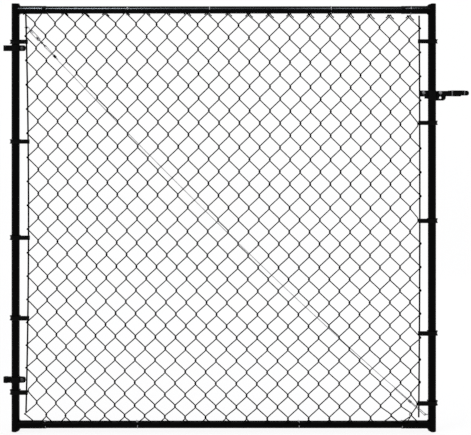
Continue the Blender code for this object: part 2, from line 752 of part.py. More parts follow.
def build_fork(black):
    """The drop fork, turning on the outer bolt of the clamp."""
    plan = [(LATCH_PIVOT_X + x, y) for x, y in fork_plan()]
    low, high = LATCH_PIVOT_Z + FORK_BOTTOM - TRIM_MARGIN, LATCH_PIVOT_Z + FORK_TOP + TRIM_MARGIN
    body = plan_outline("latch_fork", plan, low, high, black)
    side = [(LATCH_PIVOT_X + x, LATCH_PIVOT_Z + z) for x, z in fork_side()]
    depth = FORK_OPENING / 2 + FORK_PLATE + FORK_FLARE + TRIM_MARGIN
    apply_boolean(body, side_outline("trim", side, -depth, depth, black), "INTERSECT")
    drill(body, LATCH_PIVOT_X, LATCH_PIVOT_Z, LATCH_BOLT_RADIUS + TOUCH_GAP, black)
    body.data.transform(Matrix.Translation((-LATCH_PIVOT_X, 0, -LATCH_PIVOT_Z)))
    body.location = (LATCH_PIVOT_X, 0, LATCH_PIVOT_Z)


def build_latch_bolts(black):
    """The pivot bolt through clamp and fork, and the clamp's inner bolt, with domed heads."""
    plates = TOUCH_GAP / 2 + CLAMP_PLATE
    cheeks = plates + FORK_CHEEK_GAP + FORK_PLATE
    for name, way, grip in (("latch_pivot_bolt", 1, cheeks), ("latch_inner_bolt", -1, plates)):
        x = LATCH_STILE_X + way * LATCH_PIVOT_REACH
        face = grip + TOUCH_GAP
        profile = (
            (LATCH_BOLT_HEAD * 0.35, -face - LATCH_BOLT_HEAD_DEPTH),
            (LATCH_BOLT_HEAD * 0.8, -face - LATCH_BOLT_HEAD_DEPTH * 0.7),
            (LATCH_BOLT_HEAD, -face - LATCH_BOLT_HEAD_DEPTH * 0.25),
            (LATCH_BOLT_HEAD, -face),
            (LATCH_BOLT_RADIUS, -face),
            (LATCH_BOLT_RADIUS, face),
            (LATCH_NUT_RADIUS, face),
            (LATCH_NUT_RADIUS, face + LATCH_NUT_DEPTH),
        )
        turned(name, (x, 0, LATCH_PIVOT_Z), (0, 1, 0), profile, 12, black)


def lug_holes():
    """Centres of the holes of the two cable lugs, and the way each is pulled. The upper lug sits
    on the hinge side's tension bar, the lower one on the latch stile."""
    upper_z = LEAF_TOP - UPPER_LUG_DROP
    upper = Vector((bar_x(True, upper_z), 0, upper_z))
    lower = Vector((LATCH_STILE_X - STILE_RADIUS - LUG_REACH, 0, LEAF_BOTTOM + LOWER_LUG_RISE))
    return (upper, 1), (lower, -1)


def cable_ends():
    """The two points that the truss cable pulls between: the outer rims of the lug holes."""
    rim = (LUG_HOLE_RADIUS + LUG_ROUND) / 2
    return [hole + Vector((way * rim, 0, 0)) for hole, way in lug_holes()]


def cable_point(distance):
    """A point of the hanging line at a distance from its upper end."""
    upper, lower = cable_ends()
    share = distance / (lower - upper).length
    sag = Vector((0, 0, -CABLE_SAG * 4 * share * (1 - share)))
    return upper.lerp(lower, share) + sag


def build_upper_lug(hole, black):
    """The lug of the turnbuckle's hook: a level plate with one hole round the tension bar and one
    behind it for the hook."""
    low, high = hole.z - LUG_PLATE / 2, hole.z + LUG_PLATE / 2
    bar_hole = (BAR_RADIUS + TOUCH_GAP) / math.cos(math.pi / TUBE_SIDES)
    outline = arc((hole.x, 0), LUG_ROUND, 0, 180, 8)
    outline += arc((hole.x, BAR_Y), bar_hole + LUG_RING, 180, 360, 8)
    body = plan_outline("upper_cable_lug", outline, low, high, black)
    drill_upright(body, hole, LUG_HOLE_RADIUS, 10, black)
    drill_upright(body, (hole.x, BAR_Y, hole.z), bar_hole, TUBE_SIDES, black)


def build_lower_lug(hole, zinc):
    """The lug welded to the latch stile, a level plate with a round end and a hole."""
    fit = STILE_RADIUS + TOUCH_GAP
    turn = math.degrees(math.asin(LUG_ROUND / fit))
    outline = arc((0, 0), fit, turn, -turn, 4)
    outline += arc((STILE_RADIUS + LUG_REACH, 0), LUG_ROUND, -90, 90, 8)
    plan = [(LATCH_STILE_X - x, y) for x, y in outline]
    low, high = hole.z - LUG_PLATE / 2, hole.z + LUG_PLATE / 2
    body = plan_outline("lower_cable_lug", plan, low, high, zinc)
    drill_upright(body, hole, LUG_HOLE_RADIUS, 10, zinc)


def drill_upright(body, centre, radius, sides, material):
    """A hole through a level plate."""
    profile = ((radius, -LUG_PLATE), (radius, LUG_PLATE))
    apply_boolean(body, turned("cutter", centre, (0, 0, 1), profile, sides, material), "DIFFERENCE")


def loop_points(centre, away, radius, start, end, steps, facing=(0, 1, 0)):
    """Points round a centre. Angles are in degrees from the direction away from it."""
    along = Vector(away).normalized()
    across = Vector(facing).normalized().cross(along)
    return [centre + along * x + across * y for x, y in arc((0, 0), radius, start, end, steps)]


def frame_plate(name, start, along, material):
    """The body of the turnbuckle: a long ring with a threaded hole in each end."""
    across = Vector((0, 1, 0)).cross(along)
    points = []
    for y in (-TURNBUCKLE_DEPTH / 2, TURNBUCKLE_DEPTH / 2):
        for inset_end, inset_side in ((0, 0), (TURNBUCKLE_END, TURNBUCKLE_RAIL)):
            for end, side in ((0, -1), (1, -1), (1, 1), (0, 1)):
                distance = inset_end + end * (TURNBUCKLE_LENGTH - 2 * inset_end)
                sideways = side * (TURNBUCKLE_WIDTH / 2 - inset_side)
                points.append(start + along * distance + across * sideways + Vector((0, y, 0)))
    faces = bridge(0, 8, 4) + bridge(4, 12, 4) + bridge(0, 4, 4) + bridge(8, 12, 4)
    body = make_object(name, points, faces, material)
    margin = along * TRIM_MARGIN
    through = [start - margin, start + along * TURNBUCKLE_LENGTH + margin]
    apply_boolean(body, swept_rod("cutter", through, ROD_RADIUS + TOUCH_GAP, 8, material), "DIFFERENCE")


def build_upper_rod(start, along, zinc):
    """The hook from the upper lug into the turnbuckle."""
    rim = cable_ends()[0]
    reach = ROD_RADIUS + HOOK_CLEARANCE
    path = loop_points(rim, along, reach, 70, 305, 7)
    path.append(rim + along * reach * 2)
    path.append(start + along * (TURNBUCKLE_END + ROD_SHOWS))
    swept_rod("turnbuckle_upper_rod", path, ROD_RADIUS, 8, zinc)


def build_lower_rod(finish, along, black):
    """The eye rod from the turnbuckle to the loop of the cable. Its eye lies across the plane."""
    across = Vector((0, 1, 0)).cross(along)
    centre = finish + along * (ROD_EYE_PLACE - TURNBUCKLE_PLACE - TURNBUCKLE_LENGTH)
    path = [finish - along * (TURNBUCKLE_END + ROD_SHOWS)]
    path.append(centre - along * ROD_EYE_RADIUS * 1.9)
    path += loop_points(centre, along, ROD_EYE_RADIUS, 150, -150, 10, across)
    swept_rod("turnbuckle_lower_rod", path, ROD_RADIUS, 8, black, across)


def strand_loop(centre, away, sleeve_distance, tail):
    """The cable from its line at a sleeve, round a loop, and back beside itself to its cut end."""
    along = Vector(away).normalized()
    across = Vector((0, 1, 0)).cross(along)
    apart = across * (CABLE_RADIUS + TOUCH_GAP / 2)
    path = [centre + along * (sleeve_distance + tail) - apart]
    path.append(centre + along * (sleeve_distance - CLAMP_SLEEVE_LENGTH) - apart)
    path += loop_points(centre, along, CABLE_LOOP_RADIUS, -50, -310, 8)
    path.append(centre + along * (sleeve_distance - CLAMP_SLEEVE_LENGTH) + apart)
    path.append(centre + along * (sleeve_distance + tail) + apart)
    return path


def add_sleeve(body, centre, along, zinc):
    """A pressed clamp round the two strands of a loop, joined to the cable."""
    half = Vector(along).normalized() * CLAMP_SLEEVE_LENGTH / 2
    width = 2 * CABLE_RADIUS + CLAMP_SLEEVE_WALL
    depth = CABLE_RADIUS + CLAMP_SLEEVE_WALL
    tool = swept_rod("sleeve", [centre - half, centre + half], width, 10, zinc, depth=depth)
    apply_boolean(body, tool, "UNION")


def build_truss_cable(eye, zinc):
    """The cable with a loop and a clamp at each end, made as one body."""
    upper, lower = cable_ends()
    length = (lower - upper).length
    first_end = UPPER_SLEEVE_PLACE + CLAMP_SLEEVE_LENGTH / 2 + UPPER_TAIL
    last_end = length - LOWER_SLEEVE_PLACE - CLAMP_SLEEVE_LENGTH / 2 - LOWER_TAIL
    first_way = cable_point(first_end) - eye
    last_way = cable_point(last_end) - lower
    upper_sleeve = UPPER_SLEEVE_PLACE - (eye - upper).length
    upper_loop = strand_loop(eye, first_way, upper_sleeve, UPPER_TAIL + CLAMP_SLEEVE_LENGTH / 2)
    lower_loop = strand_loop(lower, last_way, LOWER_SLEEVE_PLACE, LOWER_TAIL + CLAMP_SLEEVE_LENGTH / 2)
    path = upper_loop
    for step in range(1, CABLE_SPANS):
        path.append(cable_point(first_end + (last_end - first_end) * step / CABLE_SPANS))
    path += lower_loop[::-1]
    body = swept_rod("truss_cable", path, CABLE_RADIUS, CABLE_SIDES, zinc)
    add_sleeve(body, eye + first_way.normalized() * upper_sleeve, first_way, zinc)
    add_sleeve(body, lower + last_way.normalized() * LOWER_SLEEVE_PLACE, last_way, zinc)


def build_cable(zinc, black):
    """Turnbuckle, its two rods, and the cable from the turnbuckle to the lower lug."""
    start = cable_point(TURNBUCKLE_PLACE)
    along = (cable_point(TURNBUCKLE_PLACE + TURNBUCKLE_LENGTH) - start).normalized()
    frame_plate("turnbuckle_body", start, along, zinc)
    build_upper_rod(start, along, zinc)
    build_lower_rod(start + along * TURNBUCKLE_LENGTH, along, black)
    eye = start + along * (ROD_EYE_PLACE - TURNBUCKLE_PLACE + ROD_EYE_RADIUS)
    build_truss_cable(eye, zinc)


def main():
    """Builds every sub-part."""
    clear_scene()
    tube_black = make_material("tube_coating", (0.012, 0.012, 0.013), 0.28, 0.0)
    wire_black = make_material("wire_coating", (0.010, 0.010, 0.011), 0.40, 0.0)
    fitting_black = make_material("fitting_coating", (0.014, 0.014, 0.015), 0.34, 0.0)
    zinc = make_material("zinc_plate", (0.36, 0.36, 0.37), 0.35, 1.0)
    build_frame(tube_black)
    build_hinges(fitting_black)
    build_bars(wire_black)
    build_bands(fitting_black)
    build_fabric(wire_black)
    build_clamp(fitting_black)
    build_fork(fitting_black)
    build_latch_bolts(fitting_black)
    build_upper_lug(lug_holes()[0][0], fitting_black)
    build_lower_lug(lug_holes()[1][0], zinc)
    build_cable(zinc, fitting_black)


main()
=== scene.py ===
"""Looks of the chain link walk gate leaf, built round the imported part.

Metres, Z up, X from the hinge side to the latch side, the outside face towards -Y.
"""

import json
import math
import random

import bmesh
import bpy
import numpy as np
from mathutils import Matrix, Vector

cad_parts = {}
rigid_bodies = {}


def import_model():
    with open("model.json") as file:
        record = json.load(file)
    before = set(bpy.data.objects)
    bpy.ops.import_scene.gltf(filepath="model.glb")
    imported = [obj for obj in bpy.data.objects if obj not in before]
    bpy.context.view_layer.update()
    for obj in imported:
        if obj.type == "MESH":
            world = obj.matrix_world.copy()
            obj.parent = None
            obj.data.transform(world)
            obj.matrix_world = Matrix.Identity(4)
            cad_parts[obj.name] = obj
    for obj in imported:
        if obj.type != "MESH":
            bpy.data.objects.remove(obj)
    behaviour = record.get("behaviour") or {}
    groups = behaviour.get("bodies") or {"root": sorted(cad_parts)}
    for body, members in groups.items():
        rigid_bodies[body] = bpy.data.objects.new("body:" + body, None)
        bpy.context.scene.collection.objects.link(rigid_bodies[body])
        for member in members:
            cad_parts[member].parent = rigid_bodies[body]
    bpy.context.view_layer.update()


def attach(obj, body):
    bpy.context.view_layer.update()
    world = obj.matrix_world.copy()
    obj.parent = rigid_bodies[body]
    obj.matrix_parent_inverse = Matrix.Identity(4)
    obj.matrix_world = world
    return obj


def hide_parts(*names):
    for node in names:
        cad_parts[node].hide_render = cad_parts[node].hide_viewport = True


for found in list(bpy.data.objects):
    bpy.data.objects.remove(found, do_unlink=True)
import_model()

# Sizes of the part, the same as in its source.
TOUCH_GAP = 0.0003
LEAF_HEIGHT = 1.822
STILE_SPACING = 1.778
STILE_RADIUS = 0.01745
STILE_WALL = 0.0016
RAIL_RADIUS = 0.015875
RAIL_WALL = 0.0016
SLEEVE_RADIUS = STILE_RADIUS
SLEEVE_WALL = 0.00125
SLEEVE_END = 0.131
TOP_RAIL_DROP = 0.0250
BOTTOM_RAIL_RISE = 0.0272
RAIL_END_INSET = 0.024
CAP_THICKNESS = 0.0025
CAP_PLUG_DEPTH = 0.010
HINGE_PLATE = 0.004
HINGE_HEIGHT = 0.0250
HINGE_EYE_REACH = 0.040
HINGE_BORE_RADIUS = 0.0083
HINGE_TAB_END = 0.0430
HINGE_BOLT_REACH = 0.0272
HINGE_SPLIT = 0.0008
HINGE_ROUND = HINGE_HEIGHT * 0.35
LOWER_HINGE_SHARE = 0.1130
UPPER_HINGE_SHARE = 0.8898
EYE_X = HINGE_BORE_RADIUS + HINGE_PLATE / 2
HINGE_STILE_X = EYE_X + HINGE_EYE_REACH
HINGE_TAB_X = HINGE_STILE_X + HINGE_TAB_END
LATCH_STILE_X = HINGE_STILE_X + STILE_SPACING
LEAF_BOTTOM = -LOWER_HINGE_SHARE * LEAF_HEIGHT
LEAF_TOP = LEAF_BOTTOM + LEAF_HEIGHT
TOP_RAIL_Z = LEAF_TOP - TOP_RAIL_DROP
BOTTOM_RAIL_Z = LEAF_BOTTOM + BOTTOM_RAIL_RISE
BAR_RADIUS = 0.0035
LEFT_BAR_OFFSETS = (0.0441, 0.0571, 0.0442)
RIGHT_BAR_OFFSETS = (0.0589, 0.0538, 0.0571)
LEFT_BAR_FOOT = 0.083
RIGHT_BAR_FOOT = 0.061
BAR_TOP_DROP = 0.0410
BAND_PLATE = 0.002
BAND_HEIGHT = 0.018
BAND_CROWN = 0.0028
BAND_LEG_PAST_BAR = 0.0055
LEFT_BAND_SHARES = (0.0913, 0.2650, 0.4532, 0.6782, 0.9116)
RIGHT_BAND_SHARES = (0.0658, 0.2294, 0.4927, 0.7219, 0.9126)
BAND_LEG_Y = -(STILE_RADIUS + TOUCH_GAP + BAND_PLATE / 2)
BAR_Y = BAND_LEG_Y + BAND_PLATE / 2 + TOUCH_GAP + BAR_RADIUS
BAND_BACK_LEG_Y = BAR_Y + BAR_RADIUS + TOUCH_GAP + BAND_PLATE / 2
LEFT_COLUMN_INSET = 0.0853
RIGHT_COLUMN_INSET = 0.0899
LAST_COLUMN = 39
COLUMN_PITCH = (STILE_SPACING - LEFT_COLUMN_INSET - RIGHT_COLUMN_INSET) / (LAST_COLUMN - 2)
LAST_ROW = 34
TOP_ROW_UNDER_RAIL = 0.0147
LOWEST_ROW_OVER_RAIL = 0.0363
LOWEST_ROW_Z = BOTTOM_RAIL_Z + LOWEST_ROW_OVER_RAIL
ROW_SPAN = TOP_RAIL_Z - TOP_ROW_UNDER_RAIL - LOWEST_ROW_Z
ROW_STRETCH = 0.0477
LATCH_PIVOT_REACH = 0.0354
LATCH_PIVOT_SHARE = 0.7924
LATCH_PIVOT_X = LATCH_STILE_X + LATCH_PIVOT_REACH
LATCH_PIVOT_Z = LEAF_BOTTOM + LATCH_PIVOT_SHARE * LEAF_HEIGHT
CLAMP_PLATE = 0.003
CLAMP_TOP = 0.0094
CLAMP_OUTER_TOP = 0.0076
CLAMP_BOTTOM = -0.0339
CLAMP_TAB_END = 0.0589
CLAMP_CORNER = 0.014
CLAMP_INNER_TAB_END = 0.0534
CLAMP_INNER_TAB_BOTTOM = -0.0168
CLAMP_EAR_REACH = 0.0318
CLAMP_EAR_BOTTOM = -0.0256
LATCH_BOLT_RADIUS = 0.004
PADLOCK_HOLE_RADIUS = 0.0050
PADLOCK_HOLE_DROP = 0.0218
FORK_PLATE = 0.004
FORK_CHEEK_GAP = 0.001
FORK_TOP = 0.0092
FORK_NECK_TOP = 0.0075
FORK_BOTTOM = -0.0155
FORK_TIP_BOTTOM = -0.0118
FORK_LENGTH = 0.1165
FORK_CHEEK_SHARE = 0.33
FORK_NECK_SHARE = 0.28
FORK_LEG_SHARE = 0.46
FORK_STEP_SHARE = 0.69
FORK_FLARE_SHARE = 0.85
FORK_FLARE = 0.004
FORK_OPENING = 0.064
FORK_END_RADIUS = 0.0080
FORK_TIP_ROUND_SHARE = 0.46
CABLE_RADIUS = 0.0016
CABLE_SAG = 0.045
CABLE_LOOP_RADIUS = 0.0043
UPPER_TAIL = 0.012
LOWER_TAIL = 0.080
CLAMP_SLEEVE_LENGTH = 0.014
CLAMP_SLEEVE_WALL = 0.0024
UPPER_SLEEVE_PLACE = 0.169
LOWER_SLEEVE_PLACE = 0.0846
LUG_REACH = 0.008
LUG_ROUND = 0.007
LUG_PLATE = 0.003
LUG_HOLE_RADIUS = 0.0034
LUG_RING = 0.003
UPPER_LUG_DROP = 0.1004
LOWER_LUG_RISE = 0.0698
TURNBUCKLE_PLACE = 0.0135
TURNBUCKLE_LENGTH = 0.0595
TURNBUCKLE_WIDTH = 0.014
TURNBUCKLE_DEPTH = 0.008
TURNBUCKLE_RAIL = 0.003
TURNBUCKLE_END = 0.009
ROD_RADIUS = 0.0022
ROD_SHOWS = 0.010
HOOK_CLEARANCE = 0.0029
ROD_EYE_RADIUS = 0.0066
ROD_EYE_PLACE = 0.102

# The two sides of the leaf: the middle of the stile, and the way inwards along X.
SIDES = (("hinge", HINGE_STILE_X, 1), ("latch", LATCH_STILE_X, -1))

# Sizes that only the looks have: tubes, caps and welds. Pairs are (inwards, down) for the edge of
# a cap, (back from the end, pressed in) for the crimp of a stub, and for the rounded end of a rod
# (how far out, how thick) as shares of its radius.
SKIN_GAP = 0.0002
ROUND_SIDES = 48
RIM_ROUND = 0.0005
SOFT_DEGREES = 38
ROD_END_STEPS = ((0.55, 0.45), (0.35, 0.85))
CAP_EDGE = ((0, 0.0012), (0.0004, 0.0005), (0.0012, 0))
STUB_CRIMP = ((0.020, 0.0), (0.016, 0.0007), (0.012, 0.0), (0.0006, 0.0), (0.0, 0.0006))
STILE_FOLD = 0.0062
FOLD_START = 0.15
HINGE_TOP_FOLD = 0.1
BEAD_STEPS = 120
BEAD_RADIUS = 0.0021
BEAD_OVER_STUB = 0.0006
BEAD_OVER_STILE = 0.0010
BEAD_RIPPLE = 0.0003
BEAD_WAVE = 1.3
BEAD_SPREAD = 0.0002

# The woven wires: their bends, how they lie in front of the rails, their ends, and how far the
# crossings of the top and bottom rows hang under the lattice at some columns.
WOVEN_RADIUS = 0.00244
WOVEN_SIDES = 8
BEND_REACH = 0.0020
BEND_ROUND = 0.0050
BEND_STEPS = (-0.0115, -0.0068, -0.0036, -0.0012, 0.0012, 0.0036, 0.0068, 0.0115)
LAYER_DEPTH = 0.0026
LAYER_TURN = 0.0045
BAND_BEND_STEPS = ((-1, 0.0014), (-0.6, 0), (0.6, 0), (1, 0.0014))
WRAP_RISE = 0.0052
WRAP_CLEAR = BAND_HEIGHT / 2 + 0.0082
LEG_END_OVER_RAIL = 0.0135
RAIL_FORWARD = 0.0082
FORWARD_SPAN = 0.050
EDGE_WIRE_DROP = 0.0140
TOP_COLUMNS = (2, 4, 8, 10, 14, 20, 22, 32, 38)
TOP_DROPS = (-0.0028, 0.0096, 0.0130, 0.0058, 0.0083, 0.0147, 0.0190, 0.0198, 0.0275)
BOTTOM_COLUMNS = (0, 2, 4, 6, 12, 16, 20, 24, 34, 36, 38)
BOTTOM_DROPS = (
    0.0080, 0.0085, 0.0080, 0.0019, -0.0009, 0.0021, -0.0009, 0.0044, 0.0044, -0.0043, -0.0058,
)
LOW_ROW_DROPS = (0, 0.0034, 0.0018, 0.0008)
RIGHT_BAR_TOP_DROP = 0.0495

# The knuckle at the top of a wire, as (across, share of the gap between wires, up), and its tail.
KNUCKLE_TOP = ((0.0018, 0, 0), (0.0032, 0.3, 0.0030), (0.0058, 0.8, 0.0022))
RIGHT_TAIL = 0.025
LEFT_TAIL = 0.015
TAIL_SPREAD = 0.003
TAIL_TUCK = 0.0012

# Two loose wire ends, as steps (across, back, up) from a crossing or from the bottom rail.
BOTTOM_RAIL_FRONT = -0.0225
BOW_OVER_RAIL = 0.0005
BOW_START = ((0, 0.006, -0.001), (-0.0075, 0.003, -0.0120))
BOW_MIDDLE = ((-0.0190, 0, 0), (-0.0370, 0, -0.0035), (-0.0570, 0, 0))
BOW_END = ((0.0120, 0.003, -0.0110), (0, 0.006, -0.001))
CURL_MIDDLE = (-0.0048, 0.004, 0.0008)
CURL_RADIUS = 0.0052
CURL_TURNS = (0.2, 5.9)

# Bolts, as (radius of the head, its depth, radius of the shank, radius of the nut), or without the
# shank for the latch. The spare turns are how many degrees past the plates' gap a bend starts.
HINGE_BOLT = (0.0088, 0.0045, 0.0042, 0.0075)
BAND_BOLT = (0.0068, 0.0030, 0.0030, 0.0052)
LATCH_BOLT = (0.0076, 0.0045, 0.0072)
LATCH_BOLT_END = 0.0055
HINGE_TURN_SPARE = 9
EYE_TURN_SPARE = 16
CLAMP_TURN_SPARE = 8

# Tension bands in plan: where their front leg starts to rise, the angles between which they turn
# round the stile, over how many degrees their raised middle fades in and out, and the slope at
# which they leave the stile.
BAND_LEG_START = 0.010
BAND_TURN = (-92, -348)
BAND_FADE = 32
BAND_SLOPE = math.radians(30)

# Latch, lugs, cable and ties. Softness is the width of the rounded edges. A nut's profile is
# (radius, distance), a pressed sleeve's is (place, width) as shares, and the steps of a tie's ends
# are (across, back, down).
CUT_REACH = 0.05
CLAMP_SPARE = 0.001
CLAMP_BEND = 0.004
CLAMP_EDGE = 0.0001
PLATE_SOFTNESS = 0.0004
FORK_SOFTNESS = 0.0007
FORK_BLANK = 0.06
FORK_BEND_ROUND = 0.006
# Painted highlights on the fork: where its two pale bands lie along X past the pivot, their width,
# and their soft edge as a share of that width.
FORK_GLINT_PLACES = (0.0475, 0.0982)
FORK_GLINT_WIDTH = 0.0022
FORK_GLINT_SOFT = 0.4
LUG_CUT = 0.01
TURNBUCKLE_SOFTNESS = 0.0009
TURNBUCKLE_ROUND = 0.004
TURNBUCKLE_SLOT_ROUND = 0.003
ROD_NUT = ((0.0050, 0.0), (0.0056, 0.0006), (0.0056, 0.0042), (0.0050, 0.0048))
NECK_NUT_BACK = 0.009
CABLE_SPANS = 24
STRAND_SPACING = 0.0030
STRAND_LAY = 0.024
SLEEVE_WAIST = (
    (-0.5, 0.86), (-0.44, 1), (-0.2, 1), (-0.12, 0.9),
    (0.12, 0.9), (0.2, 1), (0.44, 1), (0.5, 0.86),
)
TIE_RADIUS = 0.0011
TOP_TIES = (0.5255, 0.8762, 1.3933, 1.7359)
BOTTOM_TIES = (0.1766, 0.5698, 1.2575, 1.6959)
TIE_START = ((-0.002, -0.0058, 0.0120), (-0.001, -0.0060, 0.0048))
TIE_END = ((0.001, 0.0055, 0.0175), (-0.002, -0.0058, 0.0215))

# How the woven wires depart from the even lattice, in millimetres across and up: the weights of
# 1, a, b, aa, ab, bb, aaa, aab, abb and bbb, where a runs along the leaf and b up it, from -1 to 1.
WARP_ACROSS = (-0.08, 1.65, 13.34, 3.75, -1.27, -5.59, -13.15, -11.38, 5.88, -9.20)
WARP_UP = (0.33, -5.29, 10.51, 5.02, -1.75, -0.75, 0.28, -10.65, -3.47, -8.35)

# Greys are very slightly cool. A coat is (dark, light, roughness, grain, relief, shine).
COOL_TINT = 1.04
FITTING_COAT = (0.0009, 0.0018, (0.30, 0.44), 420, 0.00012, 0.045)

# Camera: level, some way off, a little lower than the upper hinge.
CAMERA_PLACE = (0.9893, -6.0, 1.335)
CAMERA_LENS = 107.382
CAMERA_SHIFT_Y = -0.31334

# The floor as the eye sees it: its own faint grey, and the glow that brings it up to white, given
# as a near and a far distance from the origin and the glow at each.
FLOOR_FAINT = 0.12
FLOOR_GLOW = (1.5, 5.0, 0.866, 0.898)
FLOOR_GAP = 0.001
FLOOR_REACH = 40
FLOOR_CORNERS = ((-1, -1), (1, -1), (1, 1), (-1, 1))

# Lamps: name, place, what it faces, width and power. The world gives WORLD_LIGHT beside them.
WORLD_LIGHT = 0.55
LAMPS = (
    ("key", (-1.6, -3.2, 3.6), (0.9, 0, 0.7), 2.4, 70),
    ("top", (0.9, -0.7, 3.4), (0.9, 0, 1.2), 2.6, 36),
    ("rear", (2.8, 3.0, 2.6), (0.9, 0, 0.7), 2.2, 30),
)

# The three narrow lamps high in front, each with its place along the rail, length and power.
STRIP_Y = -1.68
STRIP_Z = 3.16
STRIP_WIDTH = 0.5
STRIP_COLOUR = (0.80, 0.90, 1.0)
STRIPS = ((0.115, 0.56, 400), (0.706, 0.62, 71), (1.562, 0.50, 118))

chance = random.Random(7)


def vec(*values):
    """A point as an array."""
    return np.array(values, float)


def unit(vector):
    """The same direction with length 1."""
    return vector / np.linalg.norm(vector)


def put_in(name, data):
    """A new object in the scene."""
    made = bpy.data.objects.new(name, data)
    bpy.context.scene.collection.objects.link(made)
    return made


def new_object(name, points, faces, material, sharp=40, smooth=True):
    """A mesh object from points and faces."""
    mesh = bpy.data.meshes.new(name)
    mesh.from_pydata(np.asarray(points).tolist(), [], faces)
    work = bmesh.new()
    work.from_mesh(mesh)
    bmesh.ops.recalc_face_normals(work, faces=work.faces)
    work.to_mesh(mesh)
    work.free()
    if smooth:
        mesh.polygons.foreach_set("use_smooth", [True] * len(mesh.polygons))
        mesh.set_sharp_from_angle(angle=math.radians(sharp))
    mesh.materials.append(material)
    return put_in(name, mesh)


def joined(shapes):
    """Several shapes as one list of points and one of faces."""
    points, faces, start = [], [], 0
    for shape_points, shape_faces in shapes:
        points.append(np.asarray(shape_points, float))
        faces += [tuple(corner + start for corner in face) for face in shape_faces]
        start += len(shape_points)
    return np.concatenate(points), faces


def ring_bridge(first, second, count):
    """Quads between two closed rings of corners."""
    quads = []
    for step in range(count):
        following = (step + 1) % count
        quads.append((first + step, first + following, second + following, second + step))
    return quads


def ring_faces(rings, count, closed=False):
    """Faces along a row of rings of corners, with a lid at both ends or closed into a loop."""
    last = (rings - 1) * count
    faces = [] if closed else [tuple(range(count)), tuple(range(last, last + count))]
    for start in range(0, last, count):
        faces += ring_bridge(start, start + count, count)
    return faces + ring_bridge(last, 0, count) if closed else faces


def directions(path):
    """The direction of a path at each of its points."""
    forward = np.gradient(path, axis=0)
    return forward / np.linalg.norm(forward, axis=1)[:, None]


def square_to(axis):
    """A direction square to an axis."""
    start = vec(0, 1, 0) if abs(axis[1]) < 0.9 else vec(1, 0, 0)
    return unit(np.cross(axis, start))


def circle(side, up, sides, shift=0.0):
    """Corners of a round of radius 1 in the plane of two directions."""
    angles = 2 * math.pi * (np.arange(sides) + shift) / sides
    return np.outer(np.cos(angles), side) + np.outer(np.sin(angles), up)


def sweep(path, radius, sides, rounded=False):
    """A round rod along a path in space. radius is one value or one for each point."""
    path = np.asarray(path, float)
    radii = np.ones(len(path)) * radius
    if rounded:
        path, radii = round_ends(path, radii)
    forward = directions(path)
    side = square_to(forward[0])
    rings = []
    for point, ahead, reach in zip(path, forward, radii):
        side = unit(side - ahead * side.dot(ahead))
        rings.append(point + circle(side, np.cross(ahead, side), sides) * reach)
    return np.concatenate(rings), ring_faces(len(path), sides)


def round_ends(path, radii):
    """The path with two more points at each end, so that a rod ends rounded."""
    first, last = unit(path[0] - path[1]) * radii[0], unit(path[-1] - path[-2]) * radii[-1]
    (far, thin), (near, thick) = ROD_END_STEPS
    start = [path[0] + first * far, path[0] + first * near]
    finish = [path[-1] + last * near, path[-1] + last * far]
    radii = [radii[0] * thin, radii[0] * thick, *radii, radii[-1] * thick, radii[-1] * thin]
    return np.concatenate([start, path, finish]), np.array(radii)


def turned(centre, axis, profile, sides, hollow=False):
    """A solid of revolution. profile is (radius, distance); a hollow one is a closed ring of it."""
    axis = unit(np.asarray(axis, float))
    side = square_to(axis)
    ring = circle(side, np.cross(axis, side), sides, 0.5)
    points = np.concatenate([centre + ring * radius + axis * along for radius, along in profile])
    return points, ring_faces(len(profile), sides, hollow)


def tube_profile(low, high, outer, inner):
    """Closed ring of a tube's wall, with its rims a little rounded."""
    inset = outer - RIM_ROUND
    return (
        (inset, low), (outer, low + RIM_ROUND), (outer, high - RIM_ROUND),
        (inset, high), (inner, high), (inner, low),
    )


def arc(centre, radius, start, end, steps):
    """Points of an arc in its plane, angles in degrees."""
    angles = np.radians(np.linspace(start, end, steps + 1))
    return [(centre[0] + radius * math.cos(a), centre[1] + radius * math.sin(a)) for a in angles]


def rise_angle(height, radius):
    """The angle in degrees at which a circle reaches a height."""
    return math.degrees(math.asin(height / radius))


def moved(outline, x, z=0):
    """The same outline or path, moved to its place."""
    return [(x + first, z + second) for first, second in outline]


def mirrored(path):
    """The same path on the other side of the X axis, run backwards."""
    return [(x, -y) for x, y in reversed(path)]


def strip(path, sections):
    """A plate bent in plan. sections gives for each point a ring of (distance across, height)."""
    path = np.asarray(path, float)
    points = []
    for (x, y), (ahead, aside), ring in zip(path, directions(path), sections):
        points += [(x - aside * across, y + ahead * across, height) for across, height in ring]
    return np.array(points), ring_faces(len(path), len(sections[0]))


def plate_ring(thickness, low, high, round_off=0.0004):
    """Ring of a flat plate's section, with its corners a little rounded."""
    half = thickness / 2
    inner = half - round_off
    return (
        (-half, low + round_off), (-inner, low), (inner, low), (half, low + round_off),
        (half, high - round_off), (inner, high), (-inner, high), (-half, high - round_off),
    )


def prism(outline, low, high, axis):
    """A solid with an outline, between two distances along Y or Z."""
    count = len(outline)
    points = []
    for end in (low, high):
        for first, second in outline:
            points.append((first, end, second) if axis == "Y" else (first, second, end))
    faces = [tuple(range(count)), tuple(range(count, 2 * count))]
    return np.array(points), faces + ring_bridge(0, count, count)


def fillet(outline, radius, steps=4):
    """The same closed outline with its corners rounded."""
    rounded = []
    count = len(outline)
    for place in range(count):
        here = vec(*outline[place])
        back = vec(*outline[place - 1]) - here
        ahead = vec(*outline[(place + 1) % count]) - here
        reach = min(radius, np.linalg.norm(back) * 0.4, np.linalg.norm(ahead) * 0.4)
        first, last = here + unit(back) * reach, here + unit(ahead) * reach
        for step in range(steps + 1):
            share = step / steps
            point = first * (1 - share) ** 2 + here * 2 * share * (1 - share) + last * share**2
            rounded.append(tuple(point))
    return rounded


